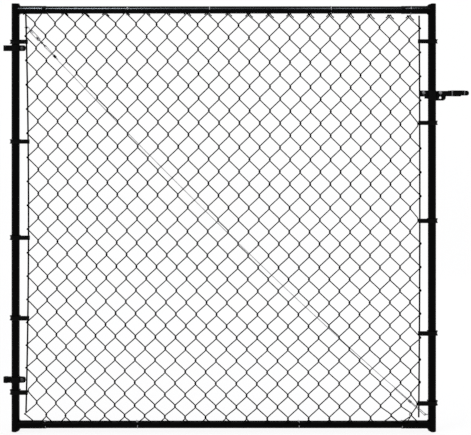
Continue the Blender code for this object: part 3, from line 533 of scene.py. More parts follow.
def cut(body, shape, operation):
    """Cuts a body with a shape, or trims it to the shape."""
    tool = new_object("tool", *shape, body.data.materials[0])
    modifier = body.modifiers.new("cut", "BOOLEAN")
    modifier.object = tool
    modifier.operation = operation
    modifier.solver = "EXACT"
    bpy.context.view_layer.update()
    graph = bpy.context.evaluated_depsgraph_get()
    body.data = bpy.data.meshes.new_from_object(body.evaluated_get(graph))
    body.modifiers.clear()
    bpy.data.objects.remove(tool, do_unlink=True)


def soften(body, width):
    """Rounds the edges of a body and shades it smooth."""
    sharp = math.radians(SOFT_DEGREES)
    modifier = body.modifiers.new("soften", "BEVEL")
    modifier.width = width
    modifier.segments = 2
    modifier.limit_method = "ANGLE"
    modifier.angle_limit = sharp
    modifier.harden_normals = True
    body.data.polygons.foreach_set("use_smooth", [True] * len(body.data.polygons))
    body.data.set_sharp_from_angle(angle=sharp)


def show(name, shape, finish, *nodes, body="leaf", sharp=40, trim=None, holes=(), soft=0):
    """A piece that rides on its body, takes the material of its finish and hides the nodes it
    stands for.

    It is trimmed to one shape, cut by others and gets soft edges where these are given.
    """
    material, slot = finish
    piece = new_object(name, *shape, material, sharp)
    if trim:
        cut(piece, trim, "INTERSECT")
    for hole in holes:
        cut(piece, hole, "DIFFERENCE")
    if soft:
        soften(piece, soft)
    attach(piece, body)
    if nodes:
        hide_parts(*nodes)


class Nodes:
    """A small helper that adds and links shader nodes."""

    def __init__(self, owner):
        owner.use_nodes = True
        self.tree = owner.node_tree
        self.shader = self.tree.nodes.get("Principled BSDF")
        self.place = self.add("ShaderNodeTexCoord").outputs["Object"]

    def add(self, kind, **settings):
        """A new node with its settings."""
        node = self.tree.nodes.new(kind)
        for name, value in settings.items():
            setattr(node, name, value)
        return node

    def link(self, output, socket):
        """Joins an output to a socket."""
        self.tree.links.new(output, socket)

    def colour(self, output):
        """Gives the piece its colour."""
        self.link(output, self.shader.inputs["Base Color"])

    def noise(self, scale, detail=4.0, rough=0.55):
        """Noise in the piece's own space."""
        node = self.add("ShaderNodeTexNoise")
        for name, value in (("Scale", scale), ("Detail", detail), ("Roughness", rough)):
            node.inputs[name].default_value = value
        self.link(self.place, node.inputs["Vector"])
        return node.outputs["Fac"]

    def ramp(self, value, *stops, tint=COOL_TINT):
        """Greys between two stops, each a place and a level. tint is how much bluer they are."""
        node = self.add("ShaderNodeValToRGB")
        for element, (place, level) in zip(node.color_ramp.elements, stops):
            element.position = place
            element.color = (level, level, level * tint, 1.0)
        self.link(value, node.inputs["Fac"])
        return node.outputs["Color"]

    def mix(self, share, first, second):
        """The first colour where the share is 0 and the second where it is 1."""
        node = self.add("ShaderNodeMix", data_type="RGBA")
        for name, output in (("Factor", share), ("A", first), ("B", second)):
            self.link(output, node.inputs[name])
        return node.outputs["Result"]

    def spread(self, value, low, high, start=0.3, end=0.7):
        """Turns values from start to end into values from low to high."""
        node = self.add("ShaderNodeMapRange")
        numbers = {"From Min": start, "From Max": end, "To Min": low, "To Max": high}
        for name, number in numbers.items():
            node.inputs[name].default_value = number
        self.link(value, node.inputs["Value"])
        return node.outputs["Result"]

    def compute(self, operation, *terms):
        """The result of an operation on sockets and numbers."""
        node = self.add("ShaderNodeMath", operation=operation)
        for socket, term in zip(node.inputs, terms):
            if isinstance(term, float):
                socket.default_value = term
            else:
                self.link(term, socket)
        return node.outputs[0]

    def bump(self, value, strength, distance):
        """Gives the piece a relief."""
        node = self.add("ShaderNodeBump")
        node.inputs["Strength"].default_value = strength
        node.inputs["Distance"].default_value = distance
        self.link(value, node.inputs["Height"])
        self.link(node.outputs["Normal"], self.shader.inputs["Normal"])

    def seen_directly(self):
        """1 where the eye, gloss or glass looks, and 0 for light that bounces."""
        rays = self.add("ShaderNodeLightPath").outputs
        first = self.compute("MAXIMUM", rays["Is Camera Ray"], rays["Is Glossy Ray"])
        return self.compute("MAXIMUM", first, rays["Is Transmission Ray"])


def coat(name, dark, light, gloss, grain, depth, specular):
    """Black coating on steel: faint patches, a grain, and a few paler rubs."""
    material = bpy.data.materials.new(name)
    nodes = Nodes(material)
    patches = nodes.ramp(nodes.noise(9), (0.35, dark), (0.70, light))
    rubs = nodes.ramp(nodes.noise(70, 6, 0.7), (0.70, 0.0), (0.80, 0.6))
    worn = nodes.ramp(nodes.noise(30), (0.2, light * 2), (0.8, light * 3))
    nodes.colour(nodes.mix(rubs, patches, worn))
    nodes.link(nodes.spread(nodes.noise(22), *gloss), nodes.shader.inputs["Roughness"])
    nodes.bump(nodes.noise(grain, 3), 0.35, depth)
    nodes.shader.inputs["Specular IOR Level"].default_value = specular
    return material


def fork_with_painted_glints(name):
    """The fittings' coating with painted highlights: pale grey bands along the two bends of the
    fork stand in for the glints of light on them.
    """
    material = coat(name, *FITTING_COAT)
    nodes = Nodes(material)
    sockets = nodes.add("ShaderNodeSeparateXYZ")
    nodes.link(nodes.place, sockets.inputs[0])
    soft = FORK_GLINT_WIDTH * FORK_GLINT_SOFT
    wander = nodes.spread(nodes.noise(160, 3), -soft, soft)
    shares = []
    for reach in FORK_GLINT_PLACES:
        away = nodes.compute("SUBTRACT", sockets.outputs["X"], LATCH_PIVOT_X + reach)
        size = nodes.compute("ABSOLUTE", nodes.compute("ADD", away, wander))
        shares.append(nodes.spread(size, 0, 1, FORK_GLINT_WIDTH, soft))
    # Pale grey painted over the coating at the bends, as a painted highlight.
    painted_glint = nodes.ramp(nodes.noise(300, 3), (0.3, 0.10), (0.7, 0.24))
    coated = nodes.shader.inputs["Base Color"].links[0].from_socket
    nodes.colour(nodes.mix(nodes.compute("MAXIMUM", *shares), coated, painted_glint))
    return material


def zinc(name, dark, light, gloss):
    """Zinc plated steel: a soft spangle and a few dull spots."""
    material = bpy.data.materials.new(name)
    nodes = Nodes(material)
    spangle = nodes.ramp(nodes.noise(260, 2), (0.35, dark), (0.65, light))
    dull = nodes.ramp(nodes.noise(45, 5), (0.55, 0.0), (0.75, 0.7))
    spots = nodes.ramp(nodes.noise(90), (0.3, dark * 0.7), (0.7, dark))
    nodes.colour(nodes.mix(dull, spangle, spots))
    nodes.link(nodes.spread(nodes.noise(60), *gloss), nodes.shader.inputs["Roughness"])
    nodes.bump(nodes.noise(420, 2), 0.25, 0.0001)
    nodes.shader.inputs["Metallic"].default_value = 1.0
    return material


# Each finish is a material and the slot that it belongs to.
TUBE = coat("tube_coat", 0.0006, 0.0012, (0.17, 0.22), 900, 0.00002, 0.03), "tube_coating"
WIRE = coat("wire_coat", 0.0005, 0.0010, (0.38, 0.52), 600, 0.00008, 0.02), "wire_coating"
FITTING = coat("fitting_coat", *FITTING_COAT), "fitting_coating"
# The fork's finish carries painted highlights along its two bends.
FORK = fork_with_painted_glints("fork_glints_painted"), "fitting_coating"
# Zinc plated pieces that take the black fittings' coat as painted shade: the turnbuckle's nuts and
# the upper cable clamp are drawn dark as if in shade.
ZINC_IN_PAINTED_SHADE = FITTING[0], "zinc_plate"
CABLE_ZINC = zinc("cable_zinc", 0.24, 0.38, (0.34, 0.46)), "zinc_plate"
CLAMP_ZINC = zinc("clamp_zinc", 0.09, 0.16, (0.40, 0.55)), "zinc_plate"
HOOK_ZINC = zinc("hook_zinc", 0.62, 0.80, (0.30, 0.42)), "zinc_plate"
BODY_ZINC = zinc("turnbuckle_zinc", 0.20, 0.32, (0.40, 0.55)), "zinc_plate"
BOLT_ZINC = zinc("bolt_zinc", 0.13, 0.24, (0.38, 0.52)), "fitting_coating"
DULL_ZINC = zinc("dull_zinc", 0.035, 0.070, (0.40, 0.55)), "fitting_coating"
TIE_ZINC = zinc("tie_zinc", 0.30, 0.50, (0.35, 0.50)), "wire_coating"


def bar_x(left, height):
    """X of the left or the right tension bar at a height."""
    share = (height - LEAF_BOTTOM) / LEAF_HEIGHT
    low, middle, high = LEFT_BAR_OFFSETS if left else RIGHT_BAR_OFFSETS
    bow = middle - (low + high) / 2
    offset = low + (high - low) * share + bow * 4 * share * (1 - share)
    return HINGE_STILE_X + offset if left else LATCH_STILE_X - offset


def warp(weights, column, row):
    """One value of the uneven hang of the woven wires."""
    a = (column - 20) / 20
    b = (row - 17) / 17
    terms = (1, a, b, a * a, a * b, b * b, a**3, a * a * b, a * b * b, b**3)
    return sum(weight * term for weight, term in zip(weights, terms)) / 1000


def crossing(column, row):
    """Middle of a crossing of the woven wires, in X and Z."""
    share = row / LAST_ROW
    height = LOWEST_ROW_Z + ROW_SPAN * (share + ROW_STRETCH * share * (share - 1))
    height += warp(WARP_UP, column, row)
    if row == LAST_ROW:
        height = TOP_RAIL_Z - float(np.interp(column, TOP_COLUMNS, TOP_DROPS))
    if row == 0:
        height -= float(np.interp(column, BOTTOM_COLUMNS, BOTTOM_DROPS))
    elif row < len(LOW_ROW_DROPS) and column < LAST_COLUMN:
        height -= LOW_ROW_DROPS[row]
    if column == 0:
        height = min(height, TOP_RAIL_Z - EDGE_WIRE_DROP)
        return bar_x(True, height), height
    if column == LAST_COLUMN:
        return bar_x(False, height), height
    x = HINGE_STILE_X + LEFT_COLUMN_INSET + COLUMN_PITCH * (column - 1)
    return x + warp(WARP_ACROSS, column, row), height


def band_bend(x, height, side):
    """The turn of an outer wire that meets a band: it runs up along the band's end."""
    points = []
    inset = BAND_LEG_PAST_BAR + TOUCH_GAP + WOVEN_RADIUS
    for share, back in BAND_BEND_STEPS:
        deep = middle_depth(height) + side * LAYER_DEPTH * share
        points.append((x - side * (inset + back), deep, height + share * BAND_HEIGHT / 2))
    return points


def edge_bend(column, x, height, side):
    """Where an outer wire turns: round the tension bar, or at the end of a band in its way."""
    shares = LEFT_BAND_SHARES if column == 0 else RIGHT_BAND_SHARES
    away = min((LEAF_BOTTOM + share * LEAF_HEIGHT - height for share in shares), key=abs)
    if abs(away) < BAND_HEIGHT / 2 + WOVEN_RADIUS:
        return band_bend(x, height, side)
    if abs(away) < WRAP_CLEAR:
        height += away - math.copysign(WRAP_CLEAR, away)
    return bar_wrap(x, height, side)


def middle_depth(height):
    """Y of the middle of the fabric, a little forward in front of the rails."""
    near = min(1.0, max(0.0, 1 - (TOP_RAIL_Z - RAIL_RADIUS / 2 - height) / FORWARD_SPAN))
    low = min(1.0, max(0.0, 1 - (height - BOTTOM_RAIL_Z - RAIL_RADIUS / 2) / FORWARD_SPAN))
    share = max(near, low)
    return BAR_Y - RAIL_FORWARD * share * share * (3 - 2 * share)


def bar_wrap(bar, height, side):
    """The end bend of an outer wire, round the tension bar."""
    points = []
    reach = BAR_RADIUS + WOVEN_RADIUS + SKIN_GAP
    for turn in range(-90, 91, 30):
        angle = math.radians(turn)
        x = bar + side * reach * math.cos(angle)
        y = middle_depth(height) + side * reach * math.sin(angle)
        points.append((x, y, height + WRAP_RISE * turn / 90))
    return points


def bend(x, height, side, below, above):
    """One bend of a woven wire. below and above are the slopes of its two legs."""
    points = []
    for step in BEND_STEPS:
        slope = above if step > 0 else below
        inwards = math.hypot(slope * step, BEND_ROUND) - BEND_ROUND
        deep = middle_depth(height + step)
        turn = side * LAYER_DEPTH * math.tanh(step / LAYER_TURN)
        points.append((x + side * (BEND_REACH - inwards), deep + turn, height + step))
    return points


def leg_slope(places, row):
    """How far a wire moves across for each unit up, between a row and the next."""
    (x, z), (next_x, next_z) = places[row], places[row + 1]
    half = abs(next_x - x) / 2 + BEND_REACH + BEND_ROUND
    return 2 * math.sqrt(half**2 - BEND_ROUND**2) / (next_z - z)


def woven_path(number):
    """Centre line of one upright wire, from its cut foot to its knuckle at the top."""
    columns = [number if (number + row) % 2 == 0 else number + 1 for row in range(LAST_ROW + 1)]
    places = [crossing(column, row) for row, column in enumerate(columns)]
    slopes = [leg_slope(places, row) for row in range(LAST_ROW)]
    path = []
    for row, (column, (x, height)) in enumerate(zip(columns, places)):
        side = -1 if column == number else 1
        below = slopes[max(row - 1, 0)]
        above = slopes[min(row, LAST_ROW - 1)]
        if column in (0, LAST_COLUMN):
            points = edge_bend(column, x, height, side)
        else:
            points = bend(x, height, side, below, above)
        if row == 0:
            path.append(foot(points[0], below, side))
        if row == LAST_ROW:
            points = points[: len(points) // 2] + knuckle(x, height, side, below)
        path += points
    return path


def foot(start, slope, side):
    """The cut lower end of a wire, just over the bottom rail."""
    x, y, z = start
    end = BOTTOM_RAIL_Z + LEG_END_OVER_RAIL
    return (x - side * slope * (z - end), y, end)


def knuckle(x, height, side, slope):
    """The top end of a wire, hooked over its neighbour and laid down along it."""
    deep = middle_depth(height)
    long = math.hypot(1, slope)
    tail = (RIGHT_TAIL if side > 0 else LEFT_TAIL) + chance.uniform(-TAIL_SPREAD, TAIL_SPREAD)
    gap = -side * (2 * WOVEN_RADIUS + 2 * SKIN_GAP)
    points = [(x + side * out, deep + gap * share, height + up) for out, share, up in KNUCKLE_TOP]
    for share in (0.4, 0.7, 1.0):
        across, down = tail * share * slope / long, tail * share / long
        points.append((x + side * (across + TAIL_TUCK), deep + gap, height - down + TAIL_TUCK))
    return points


def build_fabric():
    """The woven wires in two pieces, one for each half of the lattice."""
    for side, numbers in (("hinge", range(0, 20)), ("latch", range(20, 39))):
        shapes = [sweep(woven_path(number), WOVEN_RADIUS, WOVEN_SIDES) for number in numbers]
        show(f"woven_wires_{side}_half", joined(shapes), WIRE, f"fabric_{side}_half")


def build_bars():
    """The two tension bars."""
    ends = ((LEFT_BAR_FOOT, BAR_TOP_DROP), (RIGHT_BAR_FOOT, RIGHT_BAR_TOP_DROP))
    for (side, _, way), (rise, drop) in zip(SIDES, ends):
        heights = np.linspace(LEAF_BOTTOM + rise, LEAF_TOP - drop, 25)
        path = [(bar_x(way > 0, height), BAR_Y, height) for height in heights]
        node = f"tension_bar_{side}_side"
        show(node + "_round", sweep(path, BAR_RADIUS, 16), WIRE, node)


def folded(shape, x, inwards):
    """The same stile or cap, with the inner corner of its ends pressed in towards the rail."""
    points, faces = shape
    share = np.clip((points[:, 0] - x) * inwards / STILE_RADIUS - FOLD_START, 0, 1)
    low = points[:, 2] < (LEAF_BOTTOM + LEAF_TOP) / 2
    press = STILE_FOLD * share
    points[:, 2] += np.where(low, press, -press * (1 if inwards < 0 else HINGE_TOP_FOLD))
    return points, faces


def build_stiles():
    """The two stiles with their caps."""
    bore = STILE_RADIUS - STILE_WALL
    plug, top = bore - TOUCH_GAP, TOUCH_GAP + CAP_THICKNESS
    tube = tube_profile(LEAF_BOTTOM, LEAF_TOP, STILE_RADIUS, bore)
    cap = [(plug, -CAP_PLUG_DEPTH), (plug, TOUCH_GAP), (STILE_RADIUS, TOUCH_GAP)]
    cap += [(STILE_RADIUS - inset, top - drop) for inset, drop in CAP_EDGE]
    for side, x, inwards in SIDES:
        for end, height, way, profile in (
            ("", 0, 1, tube), ("_top_cap", LEAF_TOP, 1, cap), ("_bottom_cap", LEAF_BOTTOM, -1, cap),
        ):
            centre = vec(x, 0, height)
            shape = turned(centre, (0, 0, way), profile, ROUND_SIDES, hollow=profile is tube)
            node = f"{side}_stile{end}"
            show(node + "_round", folded(shape, x, inwards), TUBE, node)


def coped_tube(near, far, height, outer, inner):
    """A stub whose near end fits round the stile. It is pressed in a little at its far end."""
    way = math.copysign(1, far - near)
    rows = [(None, outer)] + [(far - way * back, outer - press) for back, press in STUB_CRIMP]
    rows += [(far, inner), (None, inner)]
    points = []
    for along, radius in rows:
        for angle in 2 * math.pi * np.arange(ROUND_SIDES) / ROUND_SIDES:
            side = radius * math.cos(angle)
            x = along
            if along is None:
                x = near + way * math.sqrt(max((STILE_RADIUS + TOUCH_GAP) ** 2 - side**2, 0))
            points.append((x, side, height + radius * math.sin(angle)))
    return np.array(points), ring_faces(len(rows), ROUND_SIDES, closed=True)


def weld_bead(near, way, height):
    """The weld round the foot of a stub, with the ripples that it has."""
    path, radii = [], []
    reach = SLEEVE_RADIUS + BEAD_OVER_STUB
    for step in range(BEAD_STEPS + 1):
        angle = 2 * math.pi * step / BEAD_STEPS
        side = reach * math.cos(angle)
        out = math.sqrt(max((STILE_RADIUS + BEAD_OVER_STILE) ** 2 - side**2, 0))
        path.append((near + way * (out + SKIN_GAP), side, height + reach * math.sin(angle)))
        ripple = BEAD_RIPPLE * math.sin(step * BEAD_WAVE)
        radii.append(BEAD_RADIUS + ripple + chance.uniform(-BEAD_SPREAD, BEAD_SPREAD))
    return sweep(path, radii, 8)


def build_rails():
    """Rails, the stubs that they slide in, and the welds round the stubs."""
    beads = []
    low, high = HINGE_STILE_X + RAIL_END_INSET, LATCH_STILE_X - RAIL_END_INSET
    profile = tube_profile(low, high, RAIL_RADIUS, RAIL_RADIUS - RAIL_WALL)
    for level, height in (("top", TOP_RAIL_Z), ("bottom", BOTTOM_RAIL_Z)):
        shape = turned(vec(0, 0, height), (1, 0, 0), profile, ROUND_SIDES, hollow=True)
        show(level + "_rail_round", shape, TUBE, level + "_rail")
        for side, near, way in SIDES:
            far = near + way * SLEEVE_END
            shape = coped_tube(near, far, height, SLEEVE_RADIUS, SLEEVE_RADIUS - SLEEVE_WALL)
            node = f"{level}_sleeve_{side}_side"
            show(node + "_round", shape, TUBE, node)
            beads.append(weld_bead(near, way, height))
    show("weld_beads", joined(beads), TUBE, sharp=60)


def hinge_path():
    """Centre line of a hinge strap in plan."""
    side = (HINGE_SPLIT + HINGE_PLATE) / 2
    collar = STILE_RADIUS + TOUCH_GAP + HINGE_PLATE / 2
    eye = HINGE_BORE_RADIUS + HINGE_PLATE / 2
    turn = rise_angle(side, collar) + HINGE_TURN_SPARE
    eye_turn = rise_angle(side, eye) + EYE_TURN_SPARE
    path = [(HINGE_TAB_X - HINGE_ROUND * share, -side) for share in (0, 0.06, 0.2, 0.45, 0.7, 1.0)]
    path += arc((HINGE_STILE_X, 0), collar, -turn, turn - 180, 22)
    path += arc((EYE_X, 0), eye, -eye_turn, -178, 16)
    return path + mirrored(path)


def build_hinges():
    """The two strap hinges with their bolts."""
    bolts, path = [], hinge_path()
    for node, share in (("lower_hinge", LOWER_HINGE_SHARE), ("upper_hinge", UPPER_HINGE_SHARE)):
        low = LEAF_BOTTOM + share * LEAF_HEIGHT
        high = low + HINGE_HEIGHT
        sections = []
        for x, _ in path:
            inside = max(0.0, HINGE_ROUND - (HINGE_TAB_X - x))
            drop = HINGE_ROUND - math.sqrt(max(HINGE_ROUND**2 - inside**2, 0.0))
            sections.append(plate_ring(HINGE_PLATE, low + drop, high - drop))
        show(node + "_strap", strip(path, sections), FITTING, node)
        centre = vec(HINGE_STILE_X + HINGE_BOLT_REACH, 0, (low + high) / 2)
        bolts += carriage_bolt(centre, HINGE_SPLIT / 2 + HINGE_PLATE, *HINGE_BOLT)
    show("hinge_bolts", joined(bolts), DULL_ZINC, sharp=35)


def carriage_bolt(centre, face, head, depth, shank, nut):
    """A bolt along Y, on plates face thick, whose shank shows a little behind its nut."""
    through = ((shank, -face + 0.0005), (shank, face + nut * 0.95), (shank * 0.8, face + nut * 1.1))
    return bolt_shapes(centre, face, head, depth, nut, through, 14)


def bolt_shapes(centre, face, head, depth, nut, through, sides):
    """The domed head in front, the nut behind and the shank of a bolt along Y."""
    back = (0, 1, 0)
    hexagon = ((nut, face + 0.0001), (nut, face + nut * 0.72), (nut * 0.9, face + nut * 0.8))
    return [
        turned(centre, (0, -1, 0), dome_profile(face, head, depth), 28),
        turned(centre, back, hexagon, 6),
        turned(centre, back, through, sides),
    ]


def dome_profile(face, head, depth):
    """Profile of a domed head that rests on a face."""
    profile = [(head * 0.96, face), (head, face + depth * 0.12), (head, face + depth * 0.25)]
    for angle in (20, 36, 52, 68, 82):
        turn = math.radians(angle)
        profile.append((head * math.cos(turn), face + depth * (0.25 + 0.75 * math.sin(turn))))
    return profile


def band_path(stile_x, way, leg_end):
    """Centre line of a tension band in plan, and how far it is pressed out at each point."""
    flat = STILE_RADIUS + TOUCH_GAP + BAND_PLATE / 2
    turn_x = (flat + BAND_BACK_LEG_Y * math.sin(BAND_SLOPE)) / math.cos(BAND_SLOPE)
    first, last = BAND_TURN
    path = [(leg_end, BAND_LEG_Y, 0.0), (leg_end * 0.75, BAND_LEG_Y, 0.0)]
    path.append((BAND_LEG_START, BAND_LEG_Y, 0.15))
    for angle in range(first, last, -8):
        rising, falling = (first - angle) / BAND_FADE, (angle - last) / BAND_FADE
        strength = min(1.0, rising + 0.3, falling + 0.1)
        reach = flat + BAND_CROWN * strength
        turn = math.radians(angle)
        path.append((reach * math.cos(turn), reach * math.sin(turn), strength))
    path.append((turn_x - 0.0016, BAND_BACK_LEG_Y + 0.0022, 0.0))
    path += [(turn_x + 0.0012, BAND_BACK_LEG_Y, 0.0), (leg_end, BAND_BACK_LEG_Y, 0.0)]
    return [(stile_x + way * x, y) for x, y, _ in path], [strength for _, _, strength in path]


def band_section(low, high, strength):
    """Section of a band: flat at its rims and pressed out along its middle."""
    half = BAND_PLATE / 2
    down = -BAND_CROWN * strength
    height = high - low
    outer = [(half + down, low), (half + down, low + 0.0012)]
    outer += [(half + down * 0.35, low + height * 0.20), (half, low + height * 0.34)]
    ring = outer + [(across, low + high - z) for across, z in reversed(outer)]
    inner = [(across - BAND_PLATE, z) for across, z in ring]
    return ring + inner[::-1]


def build_bands():
    """The ten tension bands and their bolts."""
    bolts = []
    for (side, stile_x, way), shares in zip(SIDES, (LEFT_BAND_SHARES, RIGHT_BAND_SHARES)):
        for number, share in enumerate(shares, start=1):
            height = LEAF_BOTTOM + share * LEAF_HEIGHT
            reach = abs(bar_x(way > 0, height) - stile_x)
            path, strengths = band_path(stile_x, way, reach + BAND_LEG_PAST_BAR)
            low, high = height - BAND_HEIGHT / 2, height + BAND_HEIGHT / 2
            sections = [band_section(low, high, strength) for strength in strengths]
            sections = [[(-way * across, z) for across, z in ring] for ring in sections]
            node = f"tension_band_{side}_side_{number}"
            show(node + "_pressed", strip(path, sections), FITTING, node)
            x = stile_x + way * (STILE_RADIUS + reach - BAR_RADIUS) / 2
            bolts += band_bolt(x, height)
    show("band_bolts", joined(bolts), FITTING, sharp=35)


def band_bolt(x, height):
    """The small carriage bolt that draws the legs of a band together."""
    middle = (BAND_LEG_Y + BAND_BACK_LEG_Y) / 2
    face = (BAND_BACK_LEG_Y - BAND_LEG_Y) / 2 + BAND_PLATE / 2
    return carriage_bolt(vec(x, middle, height), face, *BAND_BOLT)


def clamp_path(side):
    """Centre line of one clamp half in plan."""
    plate_y = side * (TOUCH_GAP / 2 + CLAMP_PLATE / 2)
    collar = STILE_RADIUS + TOUCH_GAP + CLAMP_PLATE / 2
    turn = rise_angle(abs(plate_y), collar) + CLAMP_TURN_SPARE
    path = [(-CLAMP_INNER_TAB_END, plate_y), (-collar - CLAMP_BEND, plate_y)]
    path += arc((0, 0), collar, side * (180 - turn), side * turn, 24)
    path += [(collar + CLAMP_BEND, plate_y), (CLAMP_TAB_END, plate_y)]
    return moved(path, LATCH_STILE_X)


def clamp_outline():
    """Outline of the clamp seen from the front."""
    reach = CLAMP_TAB_END - LATCH_PIVOT_REACH
    top_turn = rise_angle(CLAMP_OUTER_TOP, reach)
    collar = STILE_RADIUS + CLAMP_PLATE + TOUCH_GAP
    outline = [
        (-CLAMP_INNER_TAB_END, CLAMP_TOP),
        (-CLAMP_INNER_TAB_END, CLAMP_INNER_TAB_BOTTOM),
        (-CLAMP_EAR_REACH, CLAMP_INNER_TAB_BOTTOM),
        (-CLAMP_EAR_REACH, CLAMP_EAR_BOTTOM),
        (-collar, CLAMP_EAR_BOTTOM),
        (0, CLAMP_BOTTOM),
    ]
    corner = (CLAMP_TAB_END - CLAMP_CORNER, CLAMP_BOTTOM + CLAMP_CORNER)
    outline += arc(corner, CLAMP_CORNER, -90, 0, 12)
    outline += arc((LATCH_PIVOT_REACH, 0), reach, 0, top_turn, 8)
    outline += [(collar, CLAMP_OUTER_TOP), (-collar, CLAMP_TOP)]
    return moved(outline, LATCH_STILE_X, LATCH_PIVOT_Z)


def bolt_hole(x, z, radius):
    """A round cutter along Y."""
    return turned(vec(x, 0, z), (0, 1, 0), ((radius, -CUT_REACH), (radius, CUT_REACH)), 24)


def build_clamp():
    """The two halves of the latch clamp."""
    low, high = LATCH_PIVOT_Z + CLAMP_BOTTOM - CLAMP_SPARE, LATCH_PIVOT_Z + CLAMP_TOP + CLAMP_SPARE
    holes = [bolt_hole(LATCH_PIVOT_X, LATCH_PIVOT_Z - PADLOCK_HOLE_DROP, PADLOCK_HOLE_RADIUS)]
    for x in (LATCH_PIVOT_X, LATCH_STILE_X - LATCH_PIVOT_REACH):
        holes.append(bolt_hole(x, LATCH_PIVOT_Z, LATCH_BOLT_RADIUS + TOUCH_GAP))
    trim = prism(clamp_outline(), -CUT_REACH, CUT_REACH, "Y")
    for node, side in (("latch_clamp_front", -1), ("latch_clamp_back", 1)):
        path = clamp_path(side)
        half = strip(path, [plate_ring(CLAMP_PLATE, low, high, CLAMP_EDGE)] * len(path))
        show(node + "_half", half, FITTING, node, trim=trim, holes=holes, soft=PLATE_SOFTNESS)


def fork_plan():
    """Outline of the fork in plan, with its bends rounded."""
    inner = TOUCH_GAP / 2 + CLAMP_PLATE + FORK_CHEEK_GAP
    outer = inner + FORK_PLATE
    web = CLAMP_TAB_END - LATCH_PIVOT_REACH + TOUCH_GAP
    leg_in = FORK_OPENING / 2
    leg_out = leg_in + FORK_PLATE
    spread_start = FORK_LENGTH * FORK_CHEEK_SHARE
    leg_start = FORK_LENGTH * FORK_LEG_SHARE
    flare_start = FORK_LENGTH * FORK_FLARE_SHARE
    upper = [
        (web, inner), (-FORK_END_RADIUS, inner), (-FORK_END_RADIUS, outer),
        (spread_start, outer), (leg_start, leg_out), (flare_start, leg_out),
        (FORK_LENGTH, leg_out + FORK_FLARE), (FORK_LENGTH, leg_in + FORK_FLARE),
        (flare_start, leg_in), (leg_start + FORK_PLATE / 2, leg_in),
        (spread_start + FORK_PLATE, inner),
    ]
    return moved(fillet(upper + mirrored(upper), FORK_BEND_ROUND, 5), LATCH_PIVOT_X)


def fork_side():
    """Outline of the fork seen from the front."""
    neck_turn = rise_angle(FORK_NECK_TOP, FORK_END_RADIUS)
    neck_end = FORK_LENGTH * FORK_NECK_SHARE
    step_start = FORK_LENGTH * FORK_STEP_SHARE
    corner = (FORK_TOP - FORK_TIP_BOTTOM) * FORK_TIP_ROUND_SHARE
    outline = arc((0, 0), FORK_END_RADIUS, neck_turn, 250, 24)
    outline += [
        (FORK_END_RADIUS, FORK_BOTTOM), (step_start, FORK_BOTTOM),
        (step_start + FORK_TIP_BOTTOM - FORK_BOTTOM, FORK_TIP_BOTTOM),
    ]
    outline += arc((FORK_LENGTH - corner, FORK_TIP_BOTTOM + corner), corner, -90, 0, 8)
    outline += arc((FORK_LENGTH - corner, FORK_TOP - corner), corner, 0, 90, 8)
    outline += [(neck_end + FORK_TOP - FORK_NECK_TOP, FORK_TOP), (neck_end, FORK_NECK_TOP)]
    return moved(outline, LATCH_PIVOT_X, LATCH_PIVOT_Z)


def build_fork():
    """The drop fork."""
    low, high = LATCH_PIVOT_Z - FORK_BLANK / 2, LATCH_PIVOT_Z + FORK_BLANK / 2
    blank = prism(fork_plan(), low, high, "Z")
    trim = prism(fork_side(), -FORK_BLANK, FORK_BLANK, "Y")
    pin = bolt_hole(LATCH_PIVOT_X, LATCH_PIVOT_Z, LATCH_BOLT_RADIUS + TOUCH_GAP)
    show(
        "latch_fork_forged", blank, FORK, "latch_fork",
        body="fork", trim=trim, holes=[pin], soft=FORK_SOFTNESS,
    )


def build_latch_bolts():
    """The two bolts of the latch, with bright domed heads."""
    plates = TOUCH_GAP / 2 + CLAMP_PLATE
    cheeks = plates + FORK_CHEEK_GAP + FORK_PLATE
    for node, way, grip in (("latch_pivot_bolt", 1, cheeks), ("latch_inner_bolt", -1, plates)):
        centre = vec(LATCH_STILE_X + way * LATCH_PIVOT_REACH, 0, LATCH_PIVOT_Z)
        face = grip + TOUCH_GAP
        through = ((LATCH_BOLT_RADIUS, -face), (LATCH_BOLT_RADIUS, face + LATCH_BOLT_END))
        shapes = bolt_shapes(centre, face, *LATCH_BOLT, through, 16)
        show(node + "_domed", joined(shapes), BOLT_ZINC, node, sharp=35)


def lug_holes():
    """Centres of the holes of the upper and the lower cable lug."""
    upper_z = LEAF_TOP - UPPER_LUG_DROP
    lower_x = LATCH_STILE_X - STILE_RADIUS - LUG_REACH
    return vec(bar_x(True, upper_z), 0, upper_z), vec(lower_x, 0, LEAF_BOTTOM + LOWER_LUG_RISE)


def cable_ends():
    """The two points that the truss cable pulls between."""
    upper, lower = lug_holes()
    rim = vec((LUG_HOLE_RADIUS + LUG_ROUND) / 2, 0, 0)
    return upper + rim, lower - rim


def cable_point(distance):
    """A point of the hanging line at a distance from its upper end."""
    upper, lower = cable_ends()
    share = distance / np.linalg.norm(lower - upper)
    return upper + (lower - upper) * share + vec(0, 0, -CABLE_SAG * 4 * share * (1 - share))


def loop_points(centre, away, radius, start, end, steps, facing=(0, 1, 0)):
    """Points round a centre. Angles are in degrees from the direction away from it."""
    along = unit(away)
    across = np.cross(unit(np.asarray(facing, float)), along)
    return [centre + along * x + across * y for x, y in arc((0, 0), radius, start, end, steps)]


